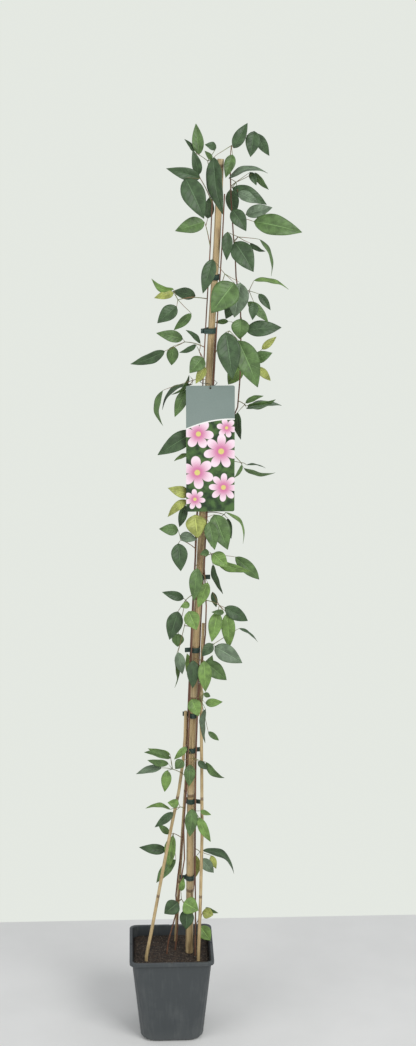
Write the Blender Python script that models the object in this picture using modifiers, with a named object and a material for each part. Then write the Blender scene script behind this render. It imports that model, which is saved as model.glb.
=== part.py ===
"""Potted clematis climbing plant, tied to bamboo canes, with a blank hang label.

World frame: origin at the centre of the pot's underside, +Z up, +X to the right of the plant's front and
-Y towards whoever stands in front of it. Lengths are metres. The plant's tables are in centimetres, and
its places are those of the front elevation, as seen from EYE; a place's depth moves it along that line of
sight, so that the front view stays as drawn whatever the depth.
"""
import math

import bmesh
import bpy
import numpy as np
from mathutils import Matrix, Vector

CM = 0.01                       # the tables below are in centimetres
GAP = 0.0004                    # clearance between pieces that touch
EYE = Vector((-0.054, -3.0, 1.736))

# Pot, a square container with rounded corners
POT_HEIGHT = 0.165
POT_RIM_HALF = 0.075
POT_TOP_HALF = 0.0710
POT_FOOT_HALF = 0.0560
POT_WALL = 0.0012
POT_FLOOR = 0.0025
POT_LIP_THICK = 0.0018
POT_SKIRT = 0.0062
POT_TOP_CORNER = 0.0100
POT_FOOT_CORNER = 0.0260
POT_ARC = 4                     # segments in a rounded corner
NOTCH_WIDTH = 0.004
NOTCH_DEPTH = 0.0009
DRAIN_RADIUS = 0.005
DRAIN_OFFSET = 0.029

# Soil
SOIL_TOP = 0.148
CANE_FOOT = 0.040               # the canes' buried ends
STEM_FOOT = 0.130               # the stems' buried ends

# Canes: routes in the front elevation, and radii at the foot and the tip
CANES = {
    "cane_main": dict(radii=(0.0068, 0.0055), route=[
        (3.2, 0.0, 4.0), (3.3, 0.0, 17.0), (3.5, 0.0, 37.0), (3.7, 0.0, 52.0), (4.0, 0.0, 60.0),
        (4.6, 0.0, 75.0), (5.3, 0.0, 88.0), (6.8, 0.0, 120.0), (7.35, 0.0, 130.0), (8.1, 0.0, 142.0),
        (8.7, 0.0, 155.5)]),
    "cane_left": dict(radii=(0.0031, 0.0028), route=[
        (-4.75, -3.1, 2.0), (-4.5, -3.0, 14.0), (-3.35, -2.6, 20.0), (-1.2, -1.8, 32.0), (0.3, -1.25, 40.0),
        (1.5, -0.75, 46.0), (2.25, -0.35, 51.5), (2.62, -0.1, 56.0), (2.75, 0.0, 61.0)]),
    "cane_right": dict(radii=(0.0031, 0.0028), route=[
        (4.7, -3.7, 2.5), (4.95, -3.2, 15.0), (5.3, -2.8, 25.0), (5.6, -2.1, 38.0), (5.55, -1.3, 50.0),
        (5.45, -0.8, 60.0), (5.5, -0.55, 68.0), (5.85, -0.35, 77.0)]),
    "cane_back": dict(radii=(0.0031, 0.0027), route=[
        (0.55, 5.0, 4.5), (0.75, 4.4, 16.0), (1.3, 3.6, 25.0), (2.1, 2.5, 38.0), (2.9, 1.8, 50.0),
        (3.6, 1.35, 60.0), (4.4, 1.3, 75.0), (5.2, 1.3, 91.0)]),
}
CANE_RESOLUTION = 2

# Stems: free part of each route, then the stretch that follows the main cane, as heights, distance from
# the cane's axis and bearings (degrees, anticlockwise from +X seen from above)
STEM_RADIUS = 0.0014
STEM_STEP = 5.0
STEMS = {
    "stem_a": dict(
        free=[(-1.0, -0.5, 13.0), (-0.5, -0.55, 17.0), (0.8, -0.6, 22.0), (1.7, -0.7, 28.0),
              (2.45, -0.6, 33.0), (2.35, -0.5, 38.5), (2.5, -0.5, 42.0), (2.85, -0.6, 46.0)],
        follow=(51.0, 150.0, 10), reach=1.15, bearings=(238.0, 200.0), tail=[]),
    "stem_b": dict(
        free=[(0.5, 0.8, 13.0), (1.2, 1.0, 20.0), (0.9, 1.2, 26.0), (1.8, 1.3, 34.0), (2.6, 1.1, 43.0)],
        follow=(52.0, 98.0, 5), reach=1.1, bearings=(140.0, 140.0),
        tail=[(7.6, 1.6, 105.5), (10.0, 1.5, 111.0), (11.6, 1.2, 114.8), (12.0, 1.0, 120.0),
              (12.1, 0.9, 127.0), (12.0, 0.9, 131.5), (11.25, 0.9, 136.5), (11.1, 0.9, 140.0),
              (10.8, 0.9, 143.0), (10.4, 0.8, 149.0), (10.2, 0.6, 155.0)]),
    "stem_c": dict(
        free=[(2.2, 2.2, 13.0), (3.2, 1.8, 20.0), (4.1, 1.3, 28.0), (4.3, 1.1, 36.0)],
        follow=(46.0, 128.0, 8), reach=1.1, bearings=(48.0, 48.0), tail=[]),
    "stem_d": dict(
        free=[(4.3, -1.4, 13.0), (4.4, -1.1, 22.0), (4.35, -0.95, 30.0), (4.4, -0.9, 40.0),
              (4.5, -0.9, 50.0), (4.8, -0.95, 60.0), (5.4, -1.1, 68.0), (6.2, -1.3, 75.0),
              (6.35, -1.25, 80.0)],
        follow=(87.0, 150.0, 7), reach=1.1, bearings=(-48.0, -40.0), tail=[]),
}

# Tape bands: height, the pieces inside the loop, and the bearing of the free end
TIE_HEIGHT = 0.009
TIE_THICK = 0.0007
TIE_TAIL = 0.011
TIES = [
    (29.5, ("cane_main",), 180.0),
    (44.2, ("cane_main",), -20.0),
    (53.8, ("cane_main",), 5.0),
    (60.3, ("cane_main",), 160.0),
    (72.3, ("cane_main",), 190.0),
    (85.3, ("cane_main",), 0.0),
    (127.7, ("cane_main", "stem_a"), 200.0),
    (136.5, ("cane_main", "stem_a"), 200.0),
]

# Hang label
LABEL_WIDTH = 0.081
LABEL_HEIGHT = 0.215
LABEL_THICK = 0.0006
LABEL_CORNER = 0.003
LABEL_CENTRE = (7.05, -1.5, 107.65)
LABEL_HOLE_RADIUS = 0.0018
LABEL_HOLE_DROP = 0.0042
LOOP_RADIUS = 0.0005

# Leaves
BLADE_THICK = 0.0008
PETIOLE_RADIUS = 0.0008
STALK_RADIUS = 0.0006
SLENDER = 0.36                  # least width of a blade over its length
ARCH = 0.07                     # usual rise of a blade's midrib over its length
FOLD = 0.22                     # rise of the blade's edges over their distance from the midrib
SMALL_BLADE = 0.042             # shorter blades have fewer stations
CLEARANCE = 0.0030              # room that blades keep from one another
LEAF_ROOM = 0.0016              # room from the skin of a cane or stem
TIE_ROOM = 0.0034               # the same beside a tape band
STALK_DEPTHS = (0.14, 0.17, 0.11, 0.20, 0.23, 0.09, 0.26, 0.125, 0.155, 0.185)
DEPTH_SHIFTS = (0.0, -0.5, 0.5, -1.0, 1.0, -1.6, 1.6, -2.4, 2.4, -3.2, 3.2)

# A leaf: its stem, the height where it leaves the stem, the point where its stalks part, and its blades.
# A blade: base x, z; tip x, z; width as seen; base depth, tip depth; arch where it isn't the usual one
LEAVES = {
    "leaf_01": ("stem_a", 148.5, (5.4, -1.0, 152.4), [
        (5.4, 152.5, 0.0, 154.0, 2.0, -1.0, -2.2),
        (5.2, 153.0, 4.2, 157.0, 1.6, -1.0, -1.8),
        (3.0, 152.5, 6.0, 146.0, 3.8, -2.2, -3.6)]),
    "leaf_02": ("stem_a", 149.8, (6.6, 0.4, 155.2), [
        (5.2, 156.2, 4.7, 161.1, 1.9, 0.6, 1.6),
        (4.4, 156.6, 2.9, 158.7, 0.8, 0.5, 1.2),
        (8.0, 157.3, 6.2, 157.8, 1.4, 0.0, -0.8),
        (7.3, 155.4, 6.1, 156.8, 0.9, 0.0, -0.8)]),
    "leaf_03": ("stem_b", 154.9, (10.4, 0.2, 157.6), [
        (14.1, 159.9, 13.5, 155.8, 2.4, 1.0, 0.4),
        (14.2, 159.5, 16.5, 156.0, 1.8, 1.2, 2.4),
        (10.8, 157.2, 13.0, 161.2, 2.0, 0.0, 0.8),
        (7.6, 155.8, 9.0, 146.6, 2.5, -1.6, -3.0),
        (10.6, 156.2, 9.5, 152.5, 1.8, -0.4, -1.4)]),
    "leaf_04": ("stem_b", 151.0, (11.2, 0.4, 151.8), [
        (10.0, 152.4, 16.3, 153.5, 1.5, -0.2, 0.4, 0.16),
        (14.3, 153.3, 16.5, 150.6, 0.8, 1.6, 2.2),
        (13.5, 153.4, 14.5, 151.3, 1.2, 1.6, 1.0),
        (10.6, 150.9, 16.2, 148.2, 2.4, -1.0, -1.4, 0.14),
        (11.5, 150.2, 14.8, 148.4, 1.8, -2.0, -2.8),
        (10.2, 150.6, 11.0, 146.6, 2.2, 2.0, 3.4)]),
    "leaf_05": ("stem_b", 146.0, (12.4, 0.9, 146.0), [
        (12.8, 146.6, 17.1, 147.7, 2.2, 1.2, 2.2),
        (14.1, 145.5, 22.0, 143.7, 3.5, 0.2, -0.6),
        (10.6, 147.4, 12.9, 144.0, 2.5, -1.4, -2.4)]),
    "leaf_06": ("stem_a", 141.5, (6.3, -1.0, 144.8), [
        (6.1, 145.4, 1.3, 144.0, 2.6, -1.2, -2.2),
        (6.6, 146.0, 7.0, 149.6, 1.8, 0.6, 1.6)]),
    "leaf_07": ("stem_b", 142.2, (11.6, 0.1, 143.0), [
        (9.8, 143.8, 9.7, 139.2, 1.8, -0.9, -1.3),
        (11.0, 142.2, 14.1, 137.3, 3.6, -0.6, -2.2),
        (15.1, 142.6, 17.1, 136.6, 0.9, 1.0, 1.6, 0.12),
        (13.5, 142.0, 16.0, 140.5, 0.6, 0.2, 0.8)]),
    "leaf_08": ("stem_b", 134.2, (13.4, 0.8, 134.2), [
        (14.2, 135.9, 20.0, 134.7, 1.2, 1.0, 1.8),
        (15.0, 133.7, 17.0, 131.0, 1.3, 0.6, 0.2),
        (13.2, 132.4, 16.7, 129.0, 1.7, -0.8, -1.6),
        (14.2, 132.3, 14.0, 129.4, 1.6, -2.0, -2.8),
        (11.6, 133.8, 9.6, 129.6, 2.6, 2.2, 3.4)]),
    "leaf_09": ("stem_d", 133.0, (9.4, -1.7, 137.0), [
        (7.4, 139.4, 5.8, 133.8, 2.3, -1.8, -3.0),
        (11.0, 135.5, 7.2, 130.6, 4.5, -2.2, -3.6),
        (12.0, 135.5, 11.0, 129.8, 3.5, -1.6, -1.6)]),
    "leaf_10": ("stem_a", 133.0, (1.7, -0.8, 132.8), [
        (1.0, 134.5, -2.6, 136.3, 1.0, -0.6, -1.0, 0.32),
        (1.0, 133.9, -2.2, 133.1, 1.5, -1.0, -1.8),
        (4.6, 133.4, 0.8, 134.2, 2.0, 0.6, 1.2),
        (1.5, 131.7, -1.7, 129.0, 2.5, -1.2, -2.0),
        (3.9, 130.5, 1.0, 127.8, 1.4, 0.2, 0.8)]),
    "leaf_11": ("stem_b", 130.0, (12.4, -0.2, 128.6), [
        (12.9, 127.7, 18.8, 128.1, 2.7, -0.4, 0.4),
        (12.0, 129.6, 11.9, 126.2, 3.0, -0.9, -1.3),
        (10.0, 129.2, 7.8, 129.0, 0.9, 2.2, 2.6)]),
    "leaf_12": ("stem_a", 125.0, (2.8, -0.8, 125.8), [
        (2.5, 126.3, -1.9, 127.3, 2.0, -0.8, -1.6),
        (0.9, 125.1, 0.6, 121.9, 2.0, -0.2, 0.4),
        (-0.5, 124.3, -6.2, 122.2, 1.6, -1.0, -1.6)]),
    "leaf_13": ("stem_a", 122.0, (5.2, -1.8, 124.2), [
        (4.7, 125.3, 1.9, 124.0, 0.8, -2.2, -3.0),
        (5.4, 125.6, 3.0, 127.8, 1.0, -2.0, -2.8),
        (5.8, 123.2, 3.6, 120.6, 2.6, -2.0, -3.2),
        (6.2, 121.6, 4.6, 118.8, 1.5, -1.9, -2.3)]),
    "leaf_14": ("stem_a", 119.6, (4.2, -0.8, 119.4), [
        (3.5, 120.2, 0.5, 117.0, 0.5, -0.8, -1.2, 0.18),
        (4.0, 118.7, -1.2, 114.7, 1.0, -1.4, -2.2, 0.18),
        (3.0, 117.8, 1.1, 113.2, 2.0, -0.4, -0.8),
        (-0.9, 117.7, -1.1, 111.7, 1.0, -0.4, -0.8, 0.16)]),
    "leaf_15": ("stem_d", 124.0, (10.2, -1.9, 127.6), [
        (9.6, 127.4, 10.7, 119.5, 3.9, -2.4, -3.8),
        (11.7, 126.0, 15.0, 118.1, 4.0, -1.8, -2.8)]),
    "leaf_16": ("stem_b", 122.5, (13.8, 0.9, 122.8), [
        (14.2, 122.7, 17.3, 123.9, 2.0, 0.6, 0.0),
        (15.6, 124.5, 18.0, 126.6, 1.2, 1.0, 1.6),
        (14.8, 121.5, 17.1, 119.2, 1.4, 1.2, 2.0),
        (12.2, 122.0, 10.0, 118.6, 2.6, 2.2, 3.2)]),
    "leaf_17": ("stem_b", 115.6, (12.8, 0.9, 115.2), [
        (12.9, 115.5, 15.9, 116.7, 1.0, 0.4, 0.0),
        (13.2, 115.0, 18.0, 115.9, 1.0, 1.0, 1.6),
        (13.1, 114.5, 19.0, 115.2, 1.4, 0.6, 2.2),
        (11.6, 113.9, 12.1, 109.2, 1.3, 0.0, 0.2)]),
    "leaf_18": ("stem_a", 110.0, (4.7, -0.6, 110.6), [
        (4.3, 110.6, -1.8, 106.7, 3.0, -0.4, -1.2),
        (3.5, 106.8, 0.9, 105.7, 0.8, 0.2, 0.6)]),
    "leaf_19": ("stem_b", 108.0, (12.2, 0.9, 105.3), [
        (12.4, 104.9, 11.1, 102.6, 0.6, 0.4, 0.0),
        (12.7, 104.3, 18.0, 103.2, 0.5, 0.9, 1.4),
        (13.2, 104.9, 16.4, 104.3, 0.4, 2.2, 3.0),
        (8.9, 106.0, 6.9, 101.4, 2.8, 2.8, 3.8)]),
    "leaf_20": ("stem_a", 99.5, (3.8, -0.8, 99.6), [
        (3.5, 99.8, -0.1, 101.0, 2.0, -0.9, -1.8),
        (3.0, 98.9, -0.2, 96.0, 1.5, -0.9, -1.8, 0.14),
        (2.8, 98.0, 1.8, 94.1, 1.5, 0.0, 0.5)]),
    "leaf_21": ("stem_d", 94.5, (6.3, -1.8, 95.8), [
        (4.4, 96.3, 4.9, 92.2, 3.5, -1.6, -2.6),
        (7.7, 96.3, 10.0, 90.1, 3.5, -1.6, -3.0),
        (6.8, 95.0, 7.8, 90.1, 2.3, -2.4, -3.8)]),
    "leaf_22": ("stem_c", 96.5, (9.4, 0.8, 96.3), [
        (9.6, 96.7, 12.6, 91.1, 0.7, 0.5, -0.2, 0.22),
        (10.0, 95.6, 10.6, 92.0, 1.2, 0.9, 0.6),
        (8.2, 95.6, 7.2, 90.6, 2.6, 2.2, 3.4)]),
    "leaf_23": ("stem_a", 90.5, (2.0, -1.1, 91.9), [
        (1.6, 93.6, -1.6, 93.9, 2.0, -1.0, -1.8),
        (1.9, 92.7, 4.8, 91.9, 1.8, -1.7, -2.3),
        (1.6, 91.3, 2.0, 86.4, 2.8, -1.4, -2.4)]),
    "leaf_24": ("stem_d", 89.0, (7.2, -1.5, 89.4), [
        (7.5, 89.5, 10.0, 87.0, 2.5, -1.8, -2.8),
        (8.0, 88.2, 14.0, 86.3, 1.4, -1.0, -0.4),
        (11.3, 88.8, 15.5, 84.7, 2.2, 0.8, 1.2, 0.2),
        (7.5, 87.5, 9.3, 82.3, 0.9, -1.4, -1.8),
        (6.8, 89.8, 5.3, 89.3, 1.2, -1.9, -2.7)]),
    "leaf_25": ("stem_a", 87.5, (4.9, -2.0, 87.4), [
        (4.8, 86.9, 4.2, 81.0, 2.3, -2.1, -3.2),
        (6.6, 84.3, 4.9, 79.8, 2.0, -1.9, -2.2)]),
    "leaf_26": ("stem_a", 82.5, (2.8, -1.0, 81.2), [
        (2.5, 81.5, -1.2, 82.7, 1.6, -1.0, -1.6),
        (3.5, 80.5, 1.9, 80.0, 1.2, -1.9, -2.5),
        (1.5, 79.2, 0.0, 74.1, 2.8, -0.9, -1.7),
        (1.5, 75.2, 1.4, 72.8, 2.1, 0.4, 0.8)]),
    "leaf_27": ("stem_a", 76.5, (2.6, -1.6, 76.6), [
        (3.3, 79.2, 4.7, 75.8, 2.7, -2.8, -3.8),
        (1.5, 71.8, 2.2, 67.8, 1.8, -1.2, -1.6),
        (0.9, 70.3, 1.1, 65.3, 0.6, -0.4, -0.2)]),
    "leaf_28": ("stem_d", 81.5, (8.6, -1.2, 80.2), [
        (7.4, 82.6, 8.1, 79.8, 1.1, 0.2, 0.6),
        (8.3, 79.0, 7.3, 73.6, 2.4, -1.8, -2.8),
        (9.4, 78.9, 7.3, 79.0, 1.0, -2.4, -3.2),
        (10.0, 78.8, 10.3, 72.4, 2.4, -0.8, -1.2),
        (9.5, 79.8, 13.6, 77.3, 2.3, -0.8, 0.0)]),
    "leaf_29": ("stem_d", 72.5, (7.6, -2.0, 73.2), [
        (7.8, 72.8, 12.6, 69.7, 3.0, -2.2, -3.0),
        (7.4, 73.3, 5.6, 71.0, 1.8, -2.6, -3.6),
        (12.0, 76.0, 15.3, 73.5, 0.5, 0.4, 0.8)]),
    "leaf_30": ("stem_a", 69.0, (4.2, -1.6, 70.7), [
        (6.2, 70.0, 9.9, 66.6, 2.7, -1.9, -1.4),
        (4.1, 70.3, 4.0, 65.2, 2.2, -1.8, -2.6),
        (6.0, 70.2, 6.2, 64.5, 2.4, -2.4, -3.2)]),
    "leaf_31": ("stem_d", 63.0, (5.3, -1.7, 63.6), [
        (3.8, 63.2, 5.0, 60.0, 2.4, -2.0, -3.0),
        (5.9, 64.2, 7.1, 63.6, 0.9, -1.5, -1.1),
        (6.2, 62.4, 9.2, 62.6, 1.5, -1.6, -2.2),
        (6.2, 61.3, 6.2, 55.0, 0.9, -1.8, -1.8),
        (6.7, 57.1, 8.6, 55.4, 1.0, -1.3, -0.9)]),
    "leaf_32": ("stem_c", 66.0, (5.3, 2.4, 66.4), [
        (5.0, 66.0, 4.2, 60.8, 2.4, 2.8, 3.6),
        (5.9, 66.9, 7.4, 71.2, 2.2, 2.8, 3.8),
        (4.2, 67.2, 3.0, 71.6, 2.0, 2.8, 3.4)]),
    "leaf_33": ("stem_a", 49.0, (0.4, -1.3, 50.2), [
        (0.0, 53.0, -3.9, 54.1, 1.3, -0.6, 0.2),
        (0.1, 52.3, -4.5, 53.5, 1.3, -1.4, -2.0),
        (-0.3, 51.2, -4.0, 52.0, 1.3, -1.8, -2.6),
        (-1.5, 50.5, -6.0, 49.4, 1.3, -1.3, -1.5),
        (-0.5, 50.0, -1.0, 45.9, 1.8, -1.5, -2.1)]),
    "leaf_34": ("stem_d", 51.5, (4.2, -2.0, 52.2), [
        (2.9, 54.3, 0.7, 52.0, 1.2, -2.2, -2.8),
        (2.2, 51.9, 0.9, 50.2, 1.8, -2.6, -3.2),
        (4.9, 51.6, 6.6, 50.0, 1.2, -2.2, -2.6),
        (6.3, 51.4, 9.5, 48.2, 1.2, -2.2, -2.0, 0.14),
        (3.5, 51.0, 3.3, 46.9, 2.0, -2.4, -3.2)]),
    "leaf_35": ("stem_a", 42.8, (1.7, -2.1, 43.0), [
        (1.5, 43.6, -0.5, 43.9, 1.6, -2.3, -2.9),
        (0.0, 42.6, -4.4, 42.8, 0.7, -2.2, -2.6, 0.16),
        (0.5, 42.0, -2.8, 39.2, 1.5, -2.4, -3.2)]),
    "leaf_36": ("stem_a", 37.0, (0.5, 0.2, 38.0), [
        (-0.2, 37.9, -2.2, 39.8, 1.2, 0.3, 0.9),
        (0.5, 37.5, -0.3, 31.3, 2.0, -0.2, 0.2),
        (-0.8, 34.8, -5.6, 35.4, 1.9, 0.5, 0.3),
        (0.9, 32.9, -2.6, 28.5, 1.8, 0.6, 1.2)]),
    "leaf_37": ("stem_d", 40.5, (4.4, -2.4, 42.2), [
        (3.9, 42.6, 3.4, 37.3, 2.3, -2.6, -3.4),
        (5.0, 41.0, 7.1, 36.2, 1.7, -3.2, -4.0),
        (5.3, 42.2, 7.2, 41.4, 0.9, -3.0, -3.6)]),
    "leaf_38": ("stem_c", 34.5, (5.2, 0.6, 34.4), [
        (5.6, 34.6, 11.5, 30.2, 1.1, 0.6, 0.4, 0.2),
        (7.2, 33.6, 8.1, 31.0, 1.2, -0.4, -0.8),
        (5.5, 33.0, 7.7, 30.2, 2.0, -0.6, -1.0),
        (4.6, 33.6, 3.6, 28.6, 2.2, 2.2, 3.2)]),
    "leaf_39": ("stem_a", 25.0, (1.9, -1.4, 25.2), [
        (1.8, 26.8, 2.3, 29.5, 1.1, -1.6, -2.0),
        (2.3, 24.6, 4.9, 22.9, 3.2, -2.1, -3.1),
        (1.3, 24.6, -1.2, 22.4, 2.8, -1.8, -2.4),
        (2.9, 23.2, 2.7, 19.2, 2.6, -1.9, -2.7)]),
    "leaf_40": ("stem_d", 20.5, (5.5, -1.0, 22.0), [
        (5.7, 22.7, 7.6, 22.0, 2.0, -1.0, -0.8),
        (6.3, 23.5, 8.5, 22.3, 0.8, 0.0, 0.4),
        (5.2, 19.8, 7.1, 17.0, 2.5, -1.5, -2.1)]),
}

COLOURS = {
    "pot_plastic": ((0.055, 0.062, 0.066), 0.45),
    "soil": ((0.035, 0.024, 0.016), 0.95),
    "bamboo": ((0.55, 0.43, 0.22), 0.5),
    "tape": ((0.03, 0.07, 0.05), 0.5),
    "label_card": ((0.22, 0.26, 0.24), 0.35),
    "stem_bark": ((0.20, 0.09, 0.045), 0.6),
    "leaf_green": ((0.09, 0.17, 0.05), 0.45),
}


def clear_scene():
    """Empty the scene so that the script can be run again."""
    for thing in list(bpy.data.objects):
        bpy.data.objects.remove(thing, do_unlink=True)


def make_collection(name):
    """Return a new collection linked to the scene."""
    collection = bpy.data.collections.new(name)
    bpy.context.scene.collection.children.link(collection)
    return collection


def make_material(name):
    """Return a Principled material for one of the named finishes."""
    colour, roughness = COLOURS[name]
    material = bpy.data.materials.new(name)
    material.use_nodes = True
    shader = material.node_tree.nodes["Principled BSDF"]
    shader.inputs["Base Color"].default_value = (*colour, 1.0)
    shader.inputs["Roughness"].default_value = roughness
    return material


def placed(x, y, z):
    """World point of an elevation place: x and z as seen at depth 0 from EYE, moved to depth y."""
    flat = Vector((x * CM, 0.0, z * CM))
    return EYE + (flat - EYE) * ((y * CM - EYE.y) / -EYE.y)


def smooth_route(points, step=STEM_STEP):
    """Points of a smooth curve through the given world points, about `step` centimetres apart."""
    ends = [2 * points[0] - points[1]] + points + [2 * points[-1] - points[-2]]
    route = []
    for before, start, end, after in zip(ends, ends[1:], ends[2:], ends[3:]):
        pieces = max(1, round((end - start).length / (step * CM)))
        for index in range(pieces):
            t = index / pieces
            route.append(0.5 * (2 * start + (end - before) * t
                                + (2 * before - 5 * start + 4 * end - after) * t ** 2
                                + (3 * start - before - 3 * end + after) * t ** 3))
    route.append(points[-1].copy())
    return route


def at_height(route, height):
    """Point of a rising route at a height in metres."""
    for low, high in zip(route, route[1:]):
        if low.z <= height <= high.z:
            return low.lerp(high, (height - low.z) / (high.z - low.z))
    return route[-1].copy() if height > route[-1].z else route[0].copy()


def bake(obj, collection):
    """Replace an object by its evaluated, welded mesh."""
    bpy.context.view_layer.update()
    depsgraph = bpy.context.evaluated_depsgraph_get()
    mesh = bpy.data.meshes.new_from_object(obj.evaluated_get(depsgraph))
    work = bmesh.new()
    work.from_mesh(mesh)
    bmesh.ops.remove_doubles(work, verts=work.verts, dist=1e-6)
    bmesh.ops.recalc_face_normals(work, faces=work.faces)
    bmesh.ops.triangulate(work, faces=work.faces)
    work.to_mesh(mesh)
    work.free()
    name = obj.name
    matrix = obj.matrix_world.copy()
    bpy.data.objects.remove(obj, do_unlink=True)
    baked = bpy.data.objects.new(name, mesh)
    baked.matrix_world = matrix
    collection.objects.link(baked)
    return baked


def new_object(name, work, collection):
    """Make an object from a bmesh."""
    mesh = bpy.data.meshes.new(name)
    work.to_mesh(mesh)
    work.free()
    obj = bpy.data.objects.new(name, mesh)
    collection.objects.link(obj)
    return obj


def tube(name, points, radii, resolution, collection, cyclic=False):
    """Round tube along world points; `radii` are those at its two ends."""
    curve = bpy.data.curves.new(name, "CURVE")
    curve.dimensions = "3D"
    curve.bevel_depth = 1.0
    curve.bevel_resolution = resolution
    curve.use_fill_caps = True
    spline = curve.splines.new("POLY")
    spline.points.add(len(points) - 1)
    spline.use_cyclic_u = cyclic
    for index, (node, point) in enumerate(zip(spline.points, points)):
        share = index / (len(points) - 1)
        node.co = (*point, 1.0)
        node.radius = radii[0] + (radii[1] - radii[0]) * share
    obj = bpy.data.objects.new(name, curve)
    collection.objects.link(obj)
    return bake(obj, collection)


def combine(target, tool, operation, collection):
    """Apply an exact Boolean of `tool` to `target`, and remove the tool."""
    modifier = target.modifiers.new("combine", "BOOLEAN")
    modifier.operation = operation
    modifier.solver = "EXACT"
    modifier.object = tool
    result = bake(target, collection)
    bpy.data.objects.remove(tool, do_unlink=True)
    return result


def rounded_square(half, corner, z):
    """Points of a square ring with rounded corners at height z."""
    inner = half - corner
    points = []
    for quarter in range(4):
        turn = Matrix.Rotation(quarter * math.pi / 2, 3, "Z")
        for step in range(POT_ARC + 1):
            angle = step * math.pi / 2 / POT_ARC
            place = Vector((inner + corner * math.cos(angle), inner + corner * math.sin(angle), 0.0))
            points.append(turn @ place + Vector((0.0, 0.0, z)))
    return points


def loft(name, rings, collection):
    """Closed solid through rings of equal point counts, capped at both ends."""
    work = bmesh.new()
    loops = [[work.verts.new(point) for point in ring] for ring in rings]
    count = len(loops[0])
    for low, high in zip(loops, loops[1:]):
        for index in range(count):
            after = (index + 1) % count
            work.faces.new((low[index], low[after], high[after], high[index]))
    work.faces.new(list(reversed(loops[0])))
    work.faces.new(loops[-1])
    bmesh.ops.recalc_face_normals(work, faces=work.faces)
    return new_object(name, work, collection)


def box(name, size, centre, collection):
    """Plain box from a cube primitive."""
    work = bmesh.new()
    bmesh.ops.create_cube(work, size=1.0)
    bmesh.ops.scale(work, vec=size, verts=work.verts)
    bmesh.ops.translate(work, vec=centre, verts=work.verts)
    return new_object(name, work, collection)


def rod(name, radius, bottom, top, sides, collection):
    """Upright cylinder between two points on one vertical line."""
    work = bmesh.new()
    bmesh.ops.create_cone(work, cap_ends=True, segments=sides, radius1=radius, radius2=radius,
                          depth=(top - bottom).length)
    bmesh.ops.translate(work, vec=(bottom + top) / 2, verts=work.verts)
    return new_object(name, work, collection)


def pot_half(z):
    """Half width of the pot's outer wall at a height."""
    return POT_FOOT_HALF + (POT_TOP_HALF - POT_FOOT_HALF) * z / POT_HEIGHT


def pot_corner(z):
    """Corner radius of the pot's outer wall at a height."""
    return POT_FOOT_CORNER + (POT_TOP_CORNER - POT_FOOT_CORNER) * z / POT_HEIGHT


def wall_ring(z, inset=0.0):
    """Ring of the pot's wall at a height, moved in by `inset`."""
    return rounded_square(pot_half(z) - inset, pot_corner(z) - inset * 0.6, z)


def build_pot(collection):
    """Pot shell with a rolled lip, a hanging skirt, rim notches and drain holes."""
    under_lip = POT_HEIGHT - POT_LIP_THICK
    skirt_foot = POT_HEIGHT - POT_SKIRT
    rim_corner = 0.012
    skirt_inner = POT_RIM_HALF - POT_WALL
    edge = 0.0006
    floor_inset = POT_WALL + 0.003
    rings = [
        wall_ring(0.0, 0.006)[:],
        rounded_square(pot_half(0) - 0.0022, pot_corner(0) - 0.001, 0.0018),
        wall_ring(0.006),
        wall_ring(0.060),
        wall_ring(0.110),
        wall_ring(under_lip),
        rounded_square(skirt_inner, rim_corner - POT_WALL, under_lip),
        rounded_square(skirt_inner, rim_corner - POT_WALL, skirt_foot),
        rounded_square(POT_RIM_HALF, rim_corner, skirt_foot),
        rounded_square(POT_RIM_HALF, rim_corner, POT_HEIGHT - edge),
        rounded_square(POT_RIM_HALF - edge, rim_corner - edge, POT_HEIGHT),
        rounded_square(POT_TOP_HALF - POT_WALL + edge, POT_TOP_CORNER, POT_HEIGHT),
        rounded_square(POT_TOP_HALF - POT_WALL, POT_TOP_CORNER - edge, POT_HEIGHT - edge),
        wall_ring(0.110, POT_WALL),
        wall_ring(0.060, POT_WALL),
        wall_ring(0.009, POT_WALL),
        wall_ring(POT_FLOOR, floor_inset + 0.001),
    ]
    pot = loft("pot", rings, collection)
    for quarter in range(4):
        turn = Matrix.Rotation(quarter * math.pi / 2, 3, "Z")
        across = (0.012, NOTCH_WIDTH) if quarter % 2 == 0 else (NOTCH_WIDTH, 0.012)
        centre = turn @ Vector((POT_RIM_HALF, 0.0, POT_HEIGHT))
        notch = box("notch", (*across, 2 * NOTCH_DEPTH), centre, collection)
        pot = combine(pot, notch, "DIFFERENCE", collection)
        hole = turn @ Vector((DRAIN_OFFSET, DRAIN_OFFSET, 0.0))
        drill = rod("drill", DRAIN_RADIUS, hole - Vector((0, 0, 0.01)), hole + Vector((0, 0, 0.01)), 12,
                    collection)
        pot = combine(pot, drill, "DIFFERENCE", collection)
    return pot


def build_soil(routes, radii, collection):
    """Soil block inside the pot, with a socket for each cane and stem."""
    inset = POT_WALL + 0.0006
    rings = [
        wall_ring(POT_FLOOR + 0.0005, inset + 0.0052),
        wall_ring(0.010, inset),
        wall_ring(0.060, inset),
        wall_ring(0.110, inset),
        wall_ring(SOIL_TOP - 0.002, inset),
        rounded_square(pot_half(SOIL_TOP) - 0.005, pot_corner(SOIL_TOP) - 0.002, SOIL_TOP),
    ]
    soil = loft("soil", rings, collection)
    for name, route in routes.items():
        wide = radii[name] + GAP
        low = route[0] + (route[0] - route[1]).normalized() * 2 * GAP
        high = at_height(route, SOIL_TOP + 0.010)
        steps = [low] + [point for point in route[1:] if point.z < SOIL_TOP] + [high]
        resolution = CANE_RESOLUTION if name.startswith("cane") else 1
        socket = tube("socket", steps, (wide, wide), resolution, collection)
        soil = combine(soil, socket, "DIFFERENCE", collection)
    return soil


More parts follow.
